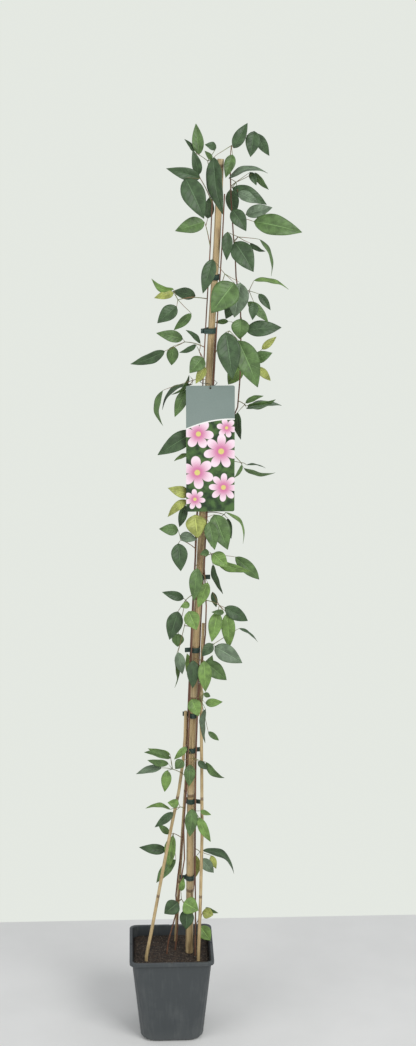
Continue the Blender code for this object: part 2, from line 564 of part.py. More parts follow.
def cane_route(name):
    """World points of a cane's axis, starting at its buried foot."""
    points = [placed(*place) for place in CANES[name]["route"]]
    foot = CANE_FOOT
    low, high = points[0], points[1]
    points[0] = low.lerp(high, (foot - low.z) / (high.z - low.z))
    return points


def stem_route(name, main_route):
    """World points of a stem's axis: its free part, its climb beside the main cane, and its tail."""
    plan = STEMS[name]
    start, stop, steps = plan["follow"]
    points = [placed(*place) for place in plan["free"]]
    for index in range(steps + 1):
        share = index / steps
        height = (start + (stop - start) * share) * CM
        bearing = math.radians(plan["bearings"][0] * (1 - share) + plan["bearings"][1] * share)
        reach = plan["reach"] * CM
        points.append(at_height(main_route, height)
                      + Vector((math.cos(bearing) * reach, math.sin(bearing) * reach, 0.0)))
    points += [placed(*place) for place in plan["tail"]]
    return smooth_route(points)


def hull_prism(name, circles, offset, low, high, collection):
    """Prism round several upright circles (centre, radius), grown by `offset`."""
    work = bmesh.new()
    sides = 12
    for centre, radius in circles:
        grown = (radius + offset) / math.cos(math.pi / sides)
        for step in range(sides):
            angle = 2 * math.pi * (step + 0.5) / sides
            for z in (low, high):
                work.verts.new((centre.x + grown * math.cos(angle), centre.y + grown * math.sin(angle), z))
    result = bmesh.ops.convex_hull(work, input=work.verts)
    spare = [item for item in result["geom_interior"] + result["geom_unused"]
             if isinstance(item, bmesh.types.BMVert)]
    bmesh.ops.delete(work, geom=list(set(spare)), context="VERTS")
    bmesh.ops.dissolve_limit(work, angle_limit=0.001, verts=work.verts, edges=work.edges)
    bmesh.ops.recalc_face_normals(work, faces=work.faces)
    return new_object(name, work, collection)


def build_tie(number, plan, routes, radii, collection):
    """Tape band round the pieces it holds, with one free end that stands out."""
    height, held, bearing = plan
    middle = height * CM
    low, high = middle - TIE_HEIGHT / 2, middle + TIE_HEIGHT / 2
    circles = [(at_height(routes[name], middle), radii[name] + 0.0003) for name in held]
    band = hull_prism(f"tie_{number}", circles, GAP + TIE_THICK, low, high, collection)
    centre = circles[0][0]
    turn = Matrix.Rotation(math.radians(bearing), 4, "Z")
    reach = circles[0][1] + GAP + TIE_THICK / 2
    tail = box("tail", (TIE_TAIL + reach, TIE_THICK, TIE_HEIGHT * 0.9),
               Vector(((TIE_TAIL + reach) / 2, 0.0, 0.0)), collection)
    tail.matrix_world = Matrix.Translation((centre.x, centre.y, middle)) @ turn
    band = combine(band, tail, "UNION", collection)
    bore = hull_prism("bore", circles, GAP, low - 0.01, high + 0.01, collection)
    return combine(band, bore, "DIFFERENCE", collection)


def build_label(collection):
    """Upright card with rounded corners and a round hole near its top."""
    curve = bpy.data.curves.new("label", "CURVE")
    curve.dimensions = "2D"
    curve.fill_mode = "BOTH"
    curve.extrude = LABEL_THICK / 2
    half_width, half_height = LABEL_WIDTH / 2, LABEL_HEIGHT / 2
    corners = []
    for quarter, (sign_x, sign_z) in enumerate(((1, 1), (-1, 1), (-1, -1), (1, -1))):
        for step in range(POT_ARC + 1):
            angle = (quarter + step / POT_ARC) * math.pi / 2
            corners.append((sign_x * (half_width - LABEL_CORNER) + LABEL_CORNER * math.cos(angle),
                            sign_z * (half_height - LABEL_CORNER) + LABEL_CORNER * math.sin(angle)))
    sides = 12
    hole_z = half_height - LABEL_HOLE_DROP
    hole = [(LABEL_HOLE_RADIUS * math.cos(-2 * math.pi * step / sides),
             hole_z + LABEL_HOLE_RADIUS * math.sin(-2 * math.pi * step / sides)) for step in range(sides)]
    for outline in (corners, hole):
        spline = curve.splines.new("POLY")
        spline.points.add(len(outline) - 1)
        spline.use_cyclic_u = True
        for node, (x, z) in zip(spline.points, outline):
            node.co = (x, z, 0.0, 1.0)
    obj = bpy.data.objects.new("label", curve)
    collection.objects.link(obj)
    obj.matrix_world = Matrix.Translation(placed(*LABEL_CENTRE)) @ Matrix.Rotation(math.pi / 2, 4, "X")
    return bake(obj, collection)


def build_label_tie(main_route, collection):
    """Thin loop: through the label's hole, over its top edge and round the main cane."""
    centre = placed(*LABEL_CENTRE)
    top = centre.z + LABEL_HEIGHT / 2
    hole = Vector((centre.x, centre.y, top - LABEL_HOLE_DROP))
    axis = at_height(main_route, top)
    front = 0.0032
    over = top + 0.0020
    clear = 0.0145
    key = [
        hole + Vector((0.0, front, -0.0004)),
        hole + Vector((0.0, -front * 0.5, 0.0)),
        Vector((centre.x, centre.y - front, (hole.z + top) / 2 + 0.0010)),
        Vector((centre.x - 0.0006, centre.y, over + 0.001)),
        Vector((axis.x - 0.0110, axis.y - 0.0085, over + 0.001)),
        Vector((axis.x - clear, axis.y, over + 0.002)),
        Vector((axis.x - 0.0100, axis.y + 0.0125, over + 0.003)),
        Vector((axis.x, axis.y + 0.0155, over + 0.003)),
        Vector((axis.x + 0.0105, axis.y + 0.0125, over + 0.002)),
        Vector((axis.x + clear, axis.y, over)),
        Vector((axis.x + 0.0110, axis.y - 0.0095, over - 0.002)),
    ]
    return tube("label_tie", key, (LOOP_RADIUS, LOOP_RADIUS), 1, collection, cyclic=True)


def blade_width(t):
    """Half width of a blade along its midrib, from 0 at the base to 0 at the tip, 1 at its widest."""
    return math.sin(math.pi * t ** 0.72) ** 0.9 if 0 < t < 1 else 0.0


def blade_frame(plan, number):
    """World base, direction, face normal, side, length, width and arch of a blade."""
    base = placed(plan[0], plan[5], plan[1])
    tip = placed(plan[2], plan[6], plan[3])
    along = tip - base
    length = along.length
    along.normalize()
    seen = plan[4] * CM
    width = max(seen, SLENDER * length)
    facing = Vector((0.0, -1.0, 0.35))
    normal = (facing - along * facing.dot(along)).normalized()
    roll = math.acos(seen / width) * (1 if number % 2 else -1)
    normal = Matrix.Rotation(roll, 3, along) @ normal
    arch = plan[7] if len(plan) > 7 else ARCH
    return base, along, normal, along.cross(normal), length, width, arch


def build_blade(plan, number, collection):
    """Thin leaflet blade: a grid bent along its midrib, folded at it, and given a thickness."""
    base, along, normal, side, length, width, arch = blade_frame(plan, number)
    stations = 2 if length < SMALL_BLADE else 3
    work = bmesh.new()
    bmesh.ops.create_grid(work, x_segments=2, y_segments=stations, size=0.5)
    for vertex in work.verts:
        t = vertex.co.y + 0.5
        across = vertex.co.x * blade_width(t) * width
        rise = arch * length * math.sin(math.pi * t) + FOLD * abs(across)
        vertex.co = base + along * (length * t) + side * across + normal * rise
    bmesh.ops.remove_doubles(work, verts=work.verts, dist=1e-6)
    obj = new_object("blade", work, collection)
    solid = obj.modifiers.new("thickness", "SOLIDIFY")
    solid.thickness = BLADE_THICK
    solid.offset = 0.0
    return bake(obj, collection)


def blade_samples(plan, number, parting):
    """World points spread over a blade and along its stalk."""
    base, along, normal, side, length, width, arch = blade_frame(plan, number)
    points = [parting.lerp(base, step / 8) for step in range(2, 9)]
    rows = max(5, round(length / CLEARANCE))
    for row in range(rows + 1):
        t = row / rows
        middle = base + along * (length * t) + normal * (arch * length * math.sin(math.pi * t))
        for column in range(-4, 5):
            across = column / 8 * blade_width(t) * width
            points.append(middle + side * across + normal * (FOLD * abs(across)))
    return np.array(points)


def obstacle_samples(routes, radii):
    """Points of the canes, stems and label, with the distance that leaves keep from each."""
    points, reaches = [], []
    heights = [plan[0] * CM for plan in TIES]
    for name, route in routes.items():
        for low, high in zip(route, route[1:]):
            pieces = max(1, round((high - low).length / CLEARANCE))
            for step in range(pieces):
                point = low.lerp(high, step / pieces)
                near_tie = min(abs(point.z - height) for height in heights) < TIE_HEIGHT
                points.append(point)
                reaches.append(radii[name] + (TIE_ROOM if near_tie and name == "cane_main" else LEAF_ROOM))
    centre = placed(*LABEL_CENTRE)
    for column in range(-12, 13):
        for row in range(-32, 36):
            points.append(centre + Vector((column * LABEL_WIDTH / 24, 0.0, row * LABEL_HEIGHT / 64)))
            reaches.append(CLEARANCE)
    for step in range(48):
        turn = Matrix.Rotation(step * math.pi / 24, 3, "Z")
        for z in (POT_HEIGHT, POT_HEIGHT - 0.006):
            rim = turn @ Vector((1.0, 0.0, 0.0))
            scale = POT_RIM_HALF / max(abs(rim.x), abs(rim.y))
            points.append(Vector((rim.x * scale, rim.y * scale, z)))
            reaches.append(0.006)
    return np.array(points), np.array(reaches)


def is_clear(samples, points, reaches):
    """Whether no sample lies within its reach of any obstacle point."""
    low, high = samples.min(axis=0) - 0.02, samples.max(axis=0) + 0.02
    near = np.all((points > low) & (points < high), axis=1)
    if not near.any():
        return True
    gaps = np.linalg.norm(samples[:, None, :] - points[None, near, :], axis=2)
    return bool((gaps > reaches[None, near]).all())


def settle_leaves(routes, radii):
    """Find for each leaf its petiole and the depth at which each blade is clear of everything else."""
    points, reaches = obstacle_samples(routes, radii)
    settled = {}
    for name, (stem, height, fork, blades) in LEAVES.items():
        root = at_height(routes[stem], height * CM)
        parting = placed(*fork)
        run = [parting.lerp(root, step / 24) for step in range(25)]
        free = 0
        while free < 24 and is_clear(np.array([run[free + 1]]), points, reaches):
            free += 1
        own = [np.array(run[:free + 1])]
        chosen = []
        for number, plan in enumerate(blades):
            for shift in DEPTH_SHIFTS:
                moved = (*plan[:5], plan[5] + shift, plan[6] + shift, *plan[7:])
                samples = blade_samples(moved, number, parting)
                if is_clear(samples, points, reaches):
                    chosen.append((moved, number))
                    own.append(samples)
                    break
        settled[name] = (run[free], parting, chosen)
        taken = np.concatenate(own)
        points = np.concatenate([points, taken])
        reaches = np.concatenate([reaches, np.full(len(taken), CLEARANCE)])
    return settled


def build_leaf(name, settled, collection):
    """Compound leaf: a petiole, a stalk to each blade, and the blades, as one body."""
    start, parting, blades = settled[name]
    if (start - parting).length < 3 * PETIOLE_RADIUS:
        start = parting + Vector((0.0, 0.0, 3 * PETIOLE_RADIUS))
    leaf = tube(name, [start, parting], (PETIOLE_RADIUS, PETIOLE_RADIUS), 0, collection)
    for plan, number in blades:
        for depth in STALK_DEPTHS:
            trial = leaf.copy()
            trial.data = leaf.data.copy()
            collection.objects.link(trial)
            trial = add_blade(trial, plan, number, parting, depth, collection)
            if is_sound(trial):
                bpy.data.objects.remove(leaf, do_unlink=True)
                leaf = trial
                break
            bpy.data.objects.remove(trial, do_unlink=True)
    leaf.name = name
    return leaf


def add_blade(leaf, plan, number, parting, depth, collection):
    """Union a stalk and its blade to a leaf; the stalk runs into the blade by a share of its length."""
    base, along, normal, _, length, _, arch = blade_frame(plan, number)
    inside = base + along * (depth * length) + normal * (arch * length * math.sin(math.pi * depth))
    lead = parting - (inside - parting).normalized() * STALK_RADIUS * (depth * 5)
    stalk = tube("stalk", [lead, inside], (STALK_RADIUS, STALK_RADIUS), 0, collection)
    leaf = combine(leaf, stalk, "UNION", collection)
    return combine(leaf, build_blade(plan, number, collection), "UNION", collection)


def is_sound(obj):
    """Whether a mesh is one closed body without slivers."""
    work = bmesh.new()
    work.from_mesh(obj.data)
    sound = all(len(edge.link_faces) == 2 and edge.calc_length() > 1e-6 for edge in work.edges)
    start = next(iter(work.verts))
    seen = {start}
    waiting = [start]
    while waiting:
        for edge in waiting.pop().link_edges:
            for vertex in edge.verts:
                if vertex not in seen:
                    seen.add(vertex)
                    waiting.append(vertex)
    sound = sound and len(seen) == len(work.verts)
    work.free()
    return sound


def main():
    """Build every piece of the plant into its collection."""
    clear_scene()
    parts = make_collection("potted_clematis")
    routes = {name: cane_route(name) for name in CANES}
    main_route = routes["cane_main"]
    routes.update({name: stem_route(name, main_route) for name in STEMS})
    radii = {name: max(plan["radii"]) for name, plan in CANES.items()}
    radii.update({name: STEM_RADIUS for name in STEMS})

    finish = {"pot_plastic": [build_pot(parts)], "soil": [build_soil(routes, radii, parts)]}
    finish["bamboo"] = [tube(name, routes[name], plan["radii"], CANE_RESOLUTION, parts)
                        for name, plan in CANES.items()]
    finish["stem_bark"] = [tube(name, routes[name], (STEM_RADIUS, STEM_RADIUS * 0.8), 1, parts)
                           for name in STEMS]
    finish["tape"] = [build_tie(number + 1, plan, routes, radii, parts) for number, plan in enumerate(TIES)]
    finish["tape"].append(build_label_tie(main_route, parts))
    finish["label_card"] = [build_label(parts)]
    settled = settle_leaves(routes, radii)
    finish["leaf_green"] = [build_leaf(name, settled, parts) for name in LEAVES]
    for name, objects in finish.items():
        for obj in objects:
            obj.data.materials.clear()
            obj.data.materials.append(make_material(name))
            obj.data.shade_smooth()
            obj.data.set_sharp_from_angle(angle=math.radians(35))


main()
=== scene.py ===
"""Looks of the potted clematis: finishes, fine leaves, label print, lights and camera.

The leaf plan repeats the model's own plan, so that every fine blade lies where its plain solid does.
"""
from __future__ import annotations

import logging
import math
import random
from dataclasses import dataclass, field
from enum import Enum

import bpy
import numpy as np
from mathutils import Matrix, Vector


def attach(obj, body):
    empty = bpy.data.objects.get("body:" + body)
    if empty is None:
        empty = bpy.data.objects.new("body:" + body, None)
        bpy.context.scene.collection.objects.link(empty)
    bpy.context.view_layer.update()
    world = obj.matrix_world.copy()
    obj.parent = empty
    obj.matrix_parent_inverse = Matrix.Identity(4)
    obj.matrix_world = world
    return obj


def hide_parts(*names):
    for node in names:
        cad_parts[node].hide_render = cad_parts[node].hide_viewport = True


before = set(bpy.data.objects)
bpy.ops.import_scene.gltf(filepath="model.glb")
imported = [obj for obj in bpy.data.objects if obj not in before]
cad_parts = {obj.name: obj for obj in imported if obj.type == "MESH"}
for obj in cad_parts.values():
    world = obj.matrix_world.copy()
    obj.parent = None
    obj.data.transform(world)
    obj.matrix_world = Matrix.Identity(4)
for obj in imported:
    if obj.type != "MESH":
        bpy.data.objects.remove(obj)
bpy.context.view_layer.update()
LOG = logging.getLogger("clematis")

CM = 0.01                       # the tables below are in centimetres
EYE = Vector((-0.054, -3.0, 1.736))

CANE_FOOT = 0.040
POT_RIM_HALF = 0.075
POT_HEIGHT = 0.165
LABEL_WIDTH = 0.081
LABEL_HEIGHT = 0.215
LABEL_CENTRE = (7.05, -1.5, 107.65)
# Canes: routes in the front elevation, and radii at the foot and the tip
CANES = {
    "cane_main": dict(radii=(0.0068, 0.0055), route=[
        (3.2, 0.0, 4.0), (3.3, 0.0, 17.0), (3.5, 0.0, 37.0), (3.7, 0.0, 52.0), (4.0, 0.0, 60.0),
        (4.6, 0.0, 75.0), (5.3, 0.0, 88.0), (6.8, 0.0, 120.0), (7.35, 0.0, 130.0), (8.1, 0.0, 142.0),
        (8.7, 0.0, 155.5)]),
    "cane_left": dict(radii=(0.0031, 0.0028), route=[
        (-4.75, -3.1, 2.0), (-4.5, -3.0, 14.0), (-3.35, -2.6, 20.0), (-1.2, -1.8, 32.0), (0.3, -1.25, 40.0),
        (1.5, -0.75, 46.0), (2.25, -0.35, 51.5), (2.62, -0.1, 56.0), (2.75, 0.0, 61.0)]),
    "cane_right": dict(radii=(0.0031, 0.0028), route=[
        (4.7, -3.7, 2.5), (4.95, -3.2, 15.0), (5.3, -2.8, 25.0), (5.6, -2.1, 38.0), (5.55, -1.3, 50.0),
        (5.45, -0.8, 60.0), (5.5, -0.55, 68.0), (5.85, -0.35, 77.0)]),
    "cane_back": dict(radii=(0.0031, 0.0027), route=[
        (0.55, 5.0, 4.5), (0.75, 4.4, 16.0), (1.3, 3.6, 25.0), (2.1, 2.5, 38.0), (2.9, 1.8, 50.0),
        (3.6, 1.35, 60.0), (4.4, 1.3, 75.0), (5.2, 1.3, 91.0)]),
}

# Stems: free part of each route, then the stretch that follows the main cane, as heights, distance from
# the cane's axis and bearings (degrees, anticlockwise from +X seen from above)
STEM_RADIUS = 0.0014
STEM_STEP = 5.0
STEMS = {
    "stem_a": dict(
        free=[(-1.0, -0.5, 13.0), (-0.5, -0.55, 17.0), (0.8, -0.6, 22.0), (1.7, -0.7, 28.0),
              (2.45, -0.6, 33.0), (2.35, -0.5, 38.5), (2.5, -0.5, 42.0), (2.85, -0.6, 46.0)],
        follow=(51.0, 150.0, 10), reach=1.15, bearings=(238.0, 200.0), tail=[]),
    "stem_b": dict(
        free=[(0.5, 0.8, 13.0), (1.2, 1.0, 20.0), (0.9, 1.2, 26.0), (1.8, 1.3, 34.0), (2.6, 1.1, 43.0)],
        follow=(52.0, 98.0, 5), reach=1.1, bearings=(140.0, 140.0),
        tail=[(7.6, 1.6, 105.5), (10.0, 1.5, 111.0), (11.6, 1.2, 114.8), (12.0, 1.0, 120.0),
              (12.1, 0.9, 127.0), (12.0, 0.9, 131.5), (11.25, 0.9, 136.5), (11.1, 0.9, 140.0),
              (10.8, 0.9, 143.0), (10.4, 0.8, 149.0), (10.2, 0.6, 155.0)]),
    "stem_c": dict(
        free=[(2.2, 2.2, 13.0), (3.2, 1.8, 20.0), (4.1, 1.3, 28.0), (4.3, 1.1, 36.0)],
        follow=(46.0, 128.0, 8), reach=1.1, bearings=(48.0, 48.0), tail=[]),
    "stem_d": dict(
        free=[(4.3, -1.4, 13.0), (4.4, -1.1, 22.0), (4.35, -0.95, 30.0), (4.4, -0.9, 40.0),
              (4.5, -0.9, 50.0), (4.8, -0.95, 60.0), (5.4, -1.1, 68.0), (6.2, -1.3, 75.0),
              (6.35, -1.25, 80.0)],
        follow=(87.0, 150.0, 7), reach=1.1, bearings=(-48.0, -40.0), tail=[]),
}

# Tape bands: height, the pieces inside the loop, and the bearing of the free end
TIE_HEIGHT = 0.009
TIES = [
    (29.5, ("cane_main",), 180.0),
    (44.2, ("cane_main",), -20.0),
    (53.8, ("cane_main",), 5.0),
    (60.3, ("cane_main",), 160.0),
    (72.3, ("cane_main",), 190.0),
    (85.3, ("cane_main",), 0.0),
    (127.7, ("cane_main", "stem_a"), 200.0),
    (136.5, ("cane_main", "stem_a"), 200.0),
]

# Leaves
PETIOLE_RADIUS = 0.0008
STALK_RADIUS = 0.0006
SLENDER = 0.36                  # least width of a blade over its length
ARCH = 0.07                     # usual rise of a blade's midrib over its length
FOLD = 0.22                     # rise of the blade's edges over their distance from the midrib
CLEARANCE = 0.0030              # room that blades keep from one another
LEAF_ROOM = 0.0016              # room from the skin of a cane or stem
TIE_ROOM = 0.0034               # the same beside a tape band
DEPTH_SHIFTS = (0.0, -0.5, 0.5, -1.0, 1.0, -1.6, 1.6, -2.4, 2.4, -3.2, 3.2)

# A leaf: its stem, the height where it leaves the stem, the point where its stalks part, and its blades.
# A blade: base x, z; tip x, z; width as seen; base depth, tip depth; arch where it isn't the usual one
LEAVES = {
    "leaf_01": ("stem_a", 148.5, (5.4, -1.0, 152.4), [
        (5.4, 152.5, 0.0, 154.0, 2.0, -1.0, -2.2),
        (5.2, 153.0, 4.2, 157.0, 1.6, -1.0, -1.8),
        (3.0, 152.5, 6.0, 146.0, 3.8, -2.2, -3.6)]),
    "leaf_02": ("stem_a", 149.8, (6.6, 0.4, 155.2), [
        (5.2, 156.2, 4.7, 161.1, 1.9, 0.6, 1.6),
        (4.4, 156.6, 2.9, 158.7, 0.8, 0.5, 1.2),
        (8.0, 157.3, 6.2, 157.8, 1.4, 0.0, -0.8),
        (7.3, 155.4, 6.1, 156.8, 0.9, 0.0, -0.8)]),
    "leaf_03": ("stem_b", 154.9, (10.4, 0.2, 157.6), [
        (14.1, 159.9, 13.5, 155.8, 2.4, 1.0, 0.4),
        (14.2, 159.5, 16.5, 156.0, 1.8, 1.2, 2.4),
        (10.8, 157.2, 13.0, 161.2, 2.0, 0.0, 0.8),
        (7.6, 155.8, 9.0, 146.6, 2.5, -1.6, -3.0),
        (10.6, 156.2, 9.5, 152.5, 1.8, -0.4, -1.4)]),
    "leaf_04": ("stem_b", 151.0, (11.2, 0.4, 151.8), [
        (10.0, 152.4, 16.3, 153.5, 1.5, -0.2, 0.4, 0.16),
        (14.3, 153.3, 16.5, 150.6, 0.8, 1.6, 2.2),
        (13.5, 153.4, 14.5, 151.3, 1.2, 1.6, 1.0),
        (10.6, 150.9, 16.2, 148.2, 2.4, -1.0, -1.4, 0.14),
        (11.5, 150.2, 14.8, 148.4, 1.8, -2.0, -2.8),
        (10.2, 150.6, 11.0, 146.6, 2.2, 2.0, 3.4)]),
    "leaf_05": ("stem_b", 146.0, (12.4, 0.9, 146.0), [
        (12.8, 146.6, 17.1, 147.7, 2.2, 1.2, 2.2),
        (14.1, 145.5, 22.0, 143.7, 3.5, 0.2, -0.6),
        (10.6, 147.4, 12.9, 144.0, 2.5, -1.4, -2.4)]),
    "leaf_06": ("stem_a", 141.5, (6.3, -1.0, 144.8), [
        (6.1, 145.4, 1.3, 144.0, 2.6, -1.2, -2.2),
        (6.6, 146.0, 7.0, 149.6, 1.8, 0.6, 1.6)]),
    "leaf_07": ("stem_b", 142.2, (11.6, 0.1, 143.0), [
        (9.8, 143.8, 9.7, 139.2, 1.8, -0.9, -1.3),
        (11.0, 142.2, 14.1, 137.3, 3.6, -0.6, -2.2),
        (15.1, 142.6, 17.1, 136.6, 0.9, 1.0, 1.6, 0.12),
        (13.5, 142.0, 16.0, 140.5, 0.6, 0.2, 0.8)]),
    "leaf_08": ("stem_b", 134.2, (13.4, 0.8, 134.2), [
        (14.2, 135.9, 20.0, 134.7, 1.2, 1.0, 1.8),
        (15.0, 133.7, 17.0, 131.0, 1.3, 0.6, 0.2),
        (13.2, 132.4, 16.7, 129.0, 1.7, -0.8, -1.6),
        (14.2, 132.3, 14.0, 129.4, 1.6, -2.0, -2.8),
        (11.6, 133.8, 9.6, 129.6, 2.6, 2.2, 3.4)]),
    "leaf_09": ("stem_d", 133.0, (9.4, -1.7, 137.0), [
        (7.4, 139.4, 5.8, 133.8, 2.3, -1.8, -3.0),
        (11.0, 135.5, 7.2, 130.6, 4.5, -2.2, -3.6),
        (12.0, 135.5, 11.0, 129.8, 3.5, -1.6, -1.6)]),
    "leaf_10": ("stem_a", 133.0, (1.7, -0.8, 132.8), [
        (1.0, 134.5, -2.6, 136.3, 1.0, -0.6, -1.0, 0.32),
        (1.0, 133.9, -2.2, 133.1, 1.5, -1.0, -1.8),
        (4.6, 133.4, 0.8, 134.2, 2.0, 0.6, 1.2),
        (1.5, 131.7, -1.7, 129.0, 2.5, -1.2, -2.0),
        (3.9, 130.5, 1.0, 127.8, 1.4, 0.2, 0.8)]),
    "leaf_11": ("stem_b", 130.0, (12.4, -0.2, 128.6), [
        (12.9, 127.7, 18.8, 128.1, 2.7, -0.4, 0.4),
        (12.0, 129.6, 11.9, 126.2, 3.0, -0.9, -1.3),
        (10.0, 129.2, 7.8, 129.0, 0.9, 2.2, 2.6)]),
    "leaf_12": ("stem_a", 125.0, (2.8, -0.8, 125.8), [
        (2.5, 126.3, -1.9, 127.3, 2.0, -0.8, -1.6),
        (0.9, 125.1, 0.6, 121.9, 2.0, -0.2, 0.4),
        (-0.5, 124.3, -6.2, 122.2, 1.6, -1.0, -1.6)]),
    "leaf_13": ("stem_a", 122.0, (5.2, -1.8, 124.2), [
        (4.7, 125.3, 1.9, 124.0, 0.8, -2.2, -3.0),
        (5.4, 125.6, 3.0, 127.8, 1.0, -2.0, -2.8),
        (5.8, 123.2, 3.6, 120.6, 2.6, -2.0, -3.2),
        (6.2, 121.6, 4.6, 118.8, 1.5, -1.9, -2.3)]),
    "leaf_14": ("stem_a", 119.6, (4.2, -0.8, 119.4), [
        (3.5, 120.2, 0.5, 117.0, 0.5, -0.8, -1.2, 0.18),
        (4.0, 118.7, -1.2, 114.7, 1.0, -1.4, -2.2, 0.18),
        (3.0, 117.8, 1.1, 113.2, 2.0, -0.4, -0.8),
        (-0.9, 117.7, -1.1, 111.7, 1.0, -0.4, -0.8, 0.16)]),
    "leaf_15": ("stem_d", 124.0, (10.2, -1.9, 127.6), [
        (9.6, 127.4, 10.7, 119.5, 3.9, -2.4, -3.8),
        (11.7, 126.0, 15.0, 118.1, 4.0, -1.8, -2.8)]),
    "leaf_16": ("stem_b", 122.5, (13.8, 0.9, 122.8), [
        (14.2, 122.7, 17.3, 123.9, 2.0, 0.6, 0.0),
        (15.6, 124.5, 18.0, 126.6, 1.2, 1.0, 1.6),
        (14.8, 121.5, 17.1, 119.2, 1.4, 1.2, 2.0),
        (12.2, 122.0, 10.0, 118.6, 2.6, 2.2, 3.2)]),
    "leaf_17": ("stem_b", 115.6, (12.8, 0.9, 115.2), [
        (12.9, 115.5, 15.9, 116.7, 1.0, 0.4, 0.0),
        (13.2, 115.0, 18.0, 115.9, 1.0, 1.0, 1.6),
        (13.1, 114.5, 19.0, 115.2, 1.4, 0.6, 2.2),
        (11.6, 113.9, 12.1, 109.2, 1.3, 0.0, 0.2)]),
    "leaf_18": ("stem_a", 110.0, (4.7, -0.6, 110.6), [
        (4.3, 110.6, -1.8, 106.7, 3.0, -0.4, -1.2),
        (3.5, 106.8, 0.9, 105.7, 0.8, 0.2, 0.6)]),
    "leaf_19": ("stem_b", 108.0, (12.2, 0.9, 105.3), [
        (12.4, 104.9, 11.1, 102.6, 0.6, 0.4, 0.0),
        (12.7, 104.3, 18.0, 103.2, 0.5, 0.9, 1.4),
        (13.2, 104.9, 16.4, 104.3, 0.4, 2.2, 3.0),
        (8.9, 106.0, 6.9, 101.4, 2.8, 2.8, 3.8)]),
    "leaf_20": ("stem_a", 99.5, (3.8, -0.8, 99.6), [
        (3.5, 99.8, -0.1, 101.0, 2.0, -0.9, -1.8),
        (3.0, 98.9, -0.2, 96.0, 1.5, -0.9, -1.8, 0.14),
        (2.8, 98.0, 1.8, 94.1, 1.5, 0.0, 0.5)]),
    "leaf_21": ("stem_d", 94.5, (6.3, -1.8, 95.8), [
        (4.4, 96.3, 4.9, 92.2, 3.5, -1.6, -2.6),
        (7.7, 96.3, 10.0, 90.1, 3.5, -1.6, -3.0),
        (6.8, 95.0, 7.8, 90.1, 2.3, -2.4, -3.8)]),
    "leaf_22": ("stem_c", 96.5, (9.4, 0.8, 96.3), [
        (9.6, 96.7, 12.6, 91.1, 0.7, 0.5, -0.2, 0.22),
        (10.0, 95.6, 10.6, 92.0, 1.2, 0.9, 0.6),
        (8.2, 95.6, 7.2, 90.6, 2.6, 2.2, 3.4)]),
    "leaf_23": ("stem_a", 90.5, (2.0, -1.1, 91.9), [
        (1.6, 93.6, -1.6, 93.9, 2.0, -1.0, -1.8),
        (1.9, 92.7, 4.8, 91.9, 1.8, -1.7, -2.3),
        (1.6, 91.3, 2.0, 86.4, 2.8, -1.4, -2.4)]),
    "leaf_24": ("stem_d", 89.0, (7.2, -1.5, 89.4), [
        (7.5, 89.5, 10.0, 87.0, 2.5, -1.8, -2.8),
        (8.0, 88.2, 14.0, 86.3, 1.4, -1.0, -0.4),
        (11.3, 88.8, 15.5, 84.7, 2.2, 0.8, 1.2, 0.2),
        (7.5, 87.5, 9.3, 82.3, 0.9, -1.4, -1.8),
        (6.8, 89.8, 5.3, 89.3, 1.2, -1.9, -2.7)]),
    "leaf_25": ("stem_a", 87.5, (4.9, -2.0, 87.4), [
        (4.8, 86.9, 4.2, 81.0, 2.3, -2.1, -3.2),
        (6.6, 84.3, 4.9, 79.8, 2.0, -1.9, -2.2)]),
    "leaf_26": ("stem_a", 82.5, (2.8, -1.0, 81.2), [
        (2.5, 81.5, -1.2, 82.7, 1.6, -1.0, -1.6),
        (3.5, 80.5, 1.9, 80.0, 1.2, -1.9, -2.5),
        (1.5, 79.2, 0.0, 74.1, 2.8, -0.9, -1.7),
        (1.5, 75.2, 1.4, 72.8, 2.1, 0.4, 0.8)]),
    "leaf_27": ("stem_a", 76.5, (2.6, -1.6, 76.6), [
        (3.3, 79.2, 4.7, 75.8, 2.7, -2.8, -3.8),
        (1.5, 71.8, 2.2, 67.8, 1.8, -1.2, -1.6),
        (0.9, 70.3, 1.1, 65.3, 0.6, -0.4, -0.2)]),
    "leaf_28": ("stem_d", 81.5, (8.6, -1.2, 80.2), [
        (7.4, 82.6, 8.1, 79.8, 1.1, 0.2, 0.6),
        (8.3, 79.0, 7.3, 73.6, 2.4, -1.8, -2.8),
        (9.4, 78.9, 7.3, 79.0, 1.0, -2.4, -3.2),
        (10.0, 78.8, 10.3, 72.4, 2.4, -0.8, -1.2),
        (9.5, 79.8, 13.6, 77.3, 2.3, -0.8, 0.0)]),
    "leaf_29": ("stem_d", 72.5, (7.6, -2.0, 73.2), [
        (7.8, 72.8, 12.6, 69.7, 3.0, -2.2, -3.0),
        (7.4, 73.3, 5.6, 71.0, 1.8, -2.6, -3.6),
        (12.0, 76.0, 15.3, 73.5, 0.5, 0.4, 0.8)]),
    "leaf_30": ("stem_a", 69.0, (4.2, -1.6, 70.7), [
        (6.2, 70.0, 9.9, 66.6, 2.7, -1.9, -1.4),
        (4.1, 70.3, 4.0, 65.2, 2.2, -1.8, -2.6),
        (6.0, 70.2, 6.2, 64.5, 2.4, -2.4, -3.2)]),
    "leaf_31": ("stem_d", 63.0, (5.3, -1.7, 63.6), [
        (3.8, 63.2, 5.0, 60.0, 2.4, -2.0, -3.0),
        (5.9, 64.2, 7.1, 63.6, 0.9, -1.5, -1.1),
        (6.2, 62.4, 9.2, 62.6, 1.5, -1.6, -2.2),
        (6.2, 61.3, 6.2, 55.0, 0.9, -1.8, -1.8),
        (6.7, 57.1, 8.6, 55.4, 1.0, -1.3, -0.9)]),
    "leaf_32": ("stem_c", 66.0, (5.3, 2.4, 66.4), [
        (5.0, 66.0, 4.2, 60.8, 2.4, 2.8, 3.6),
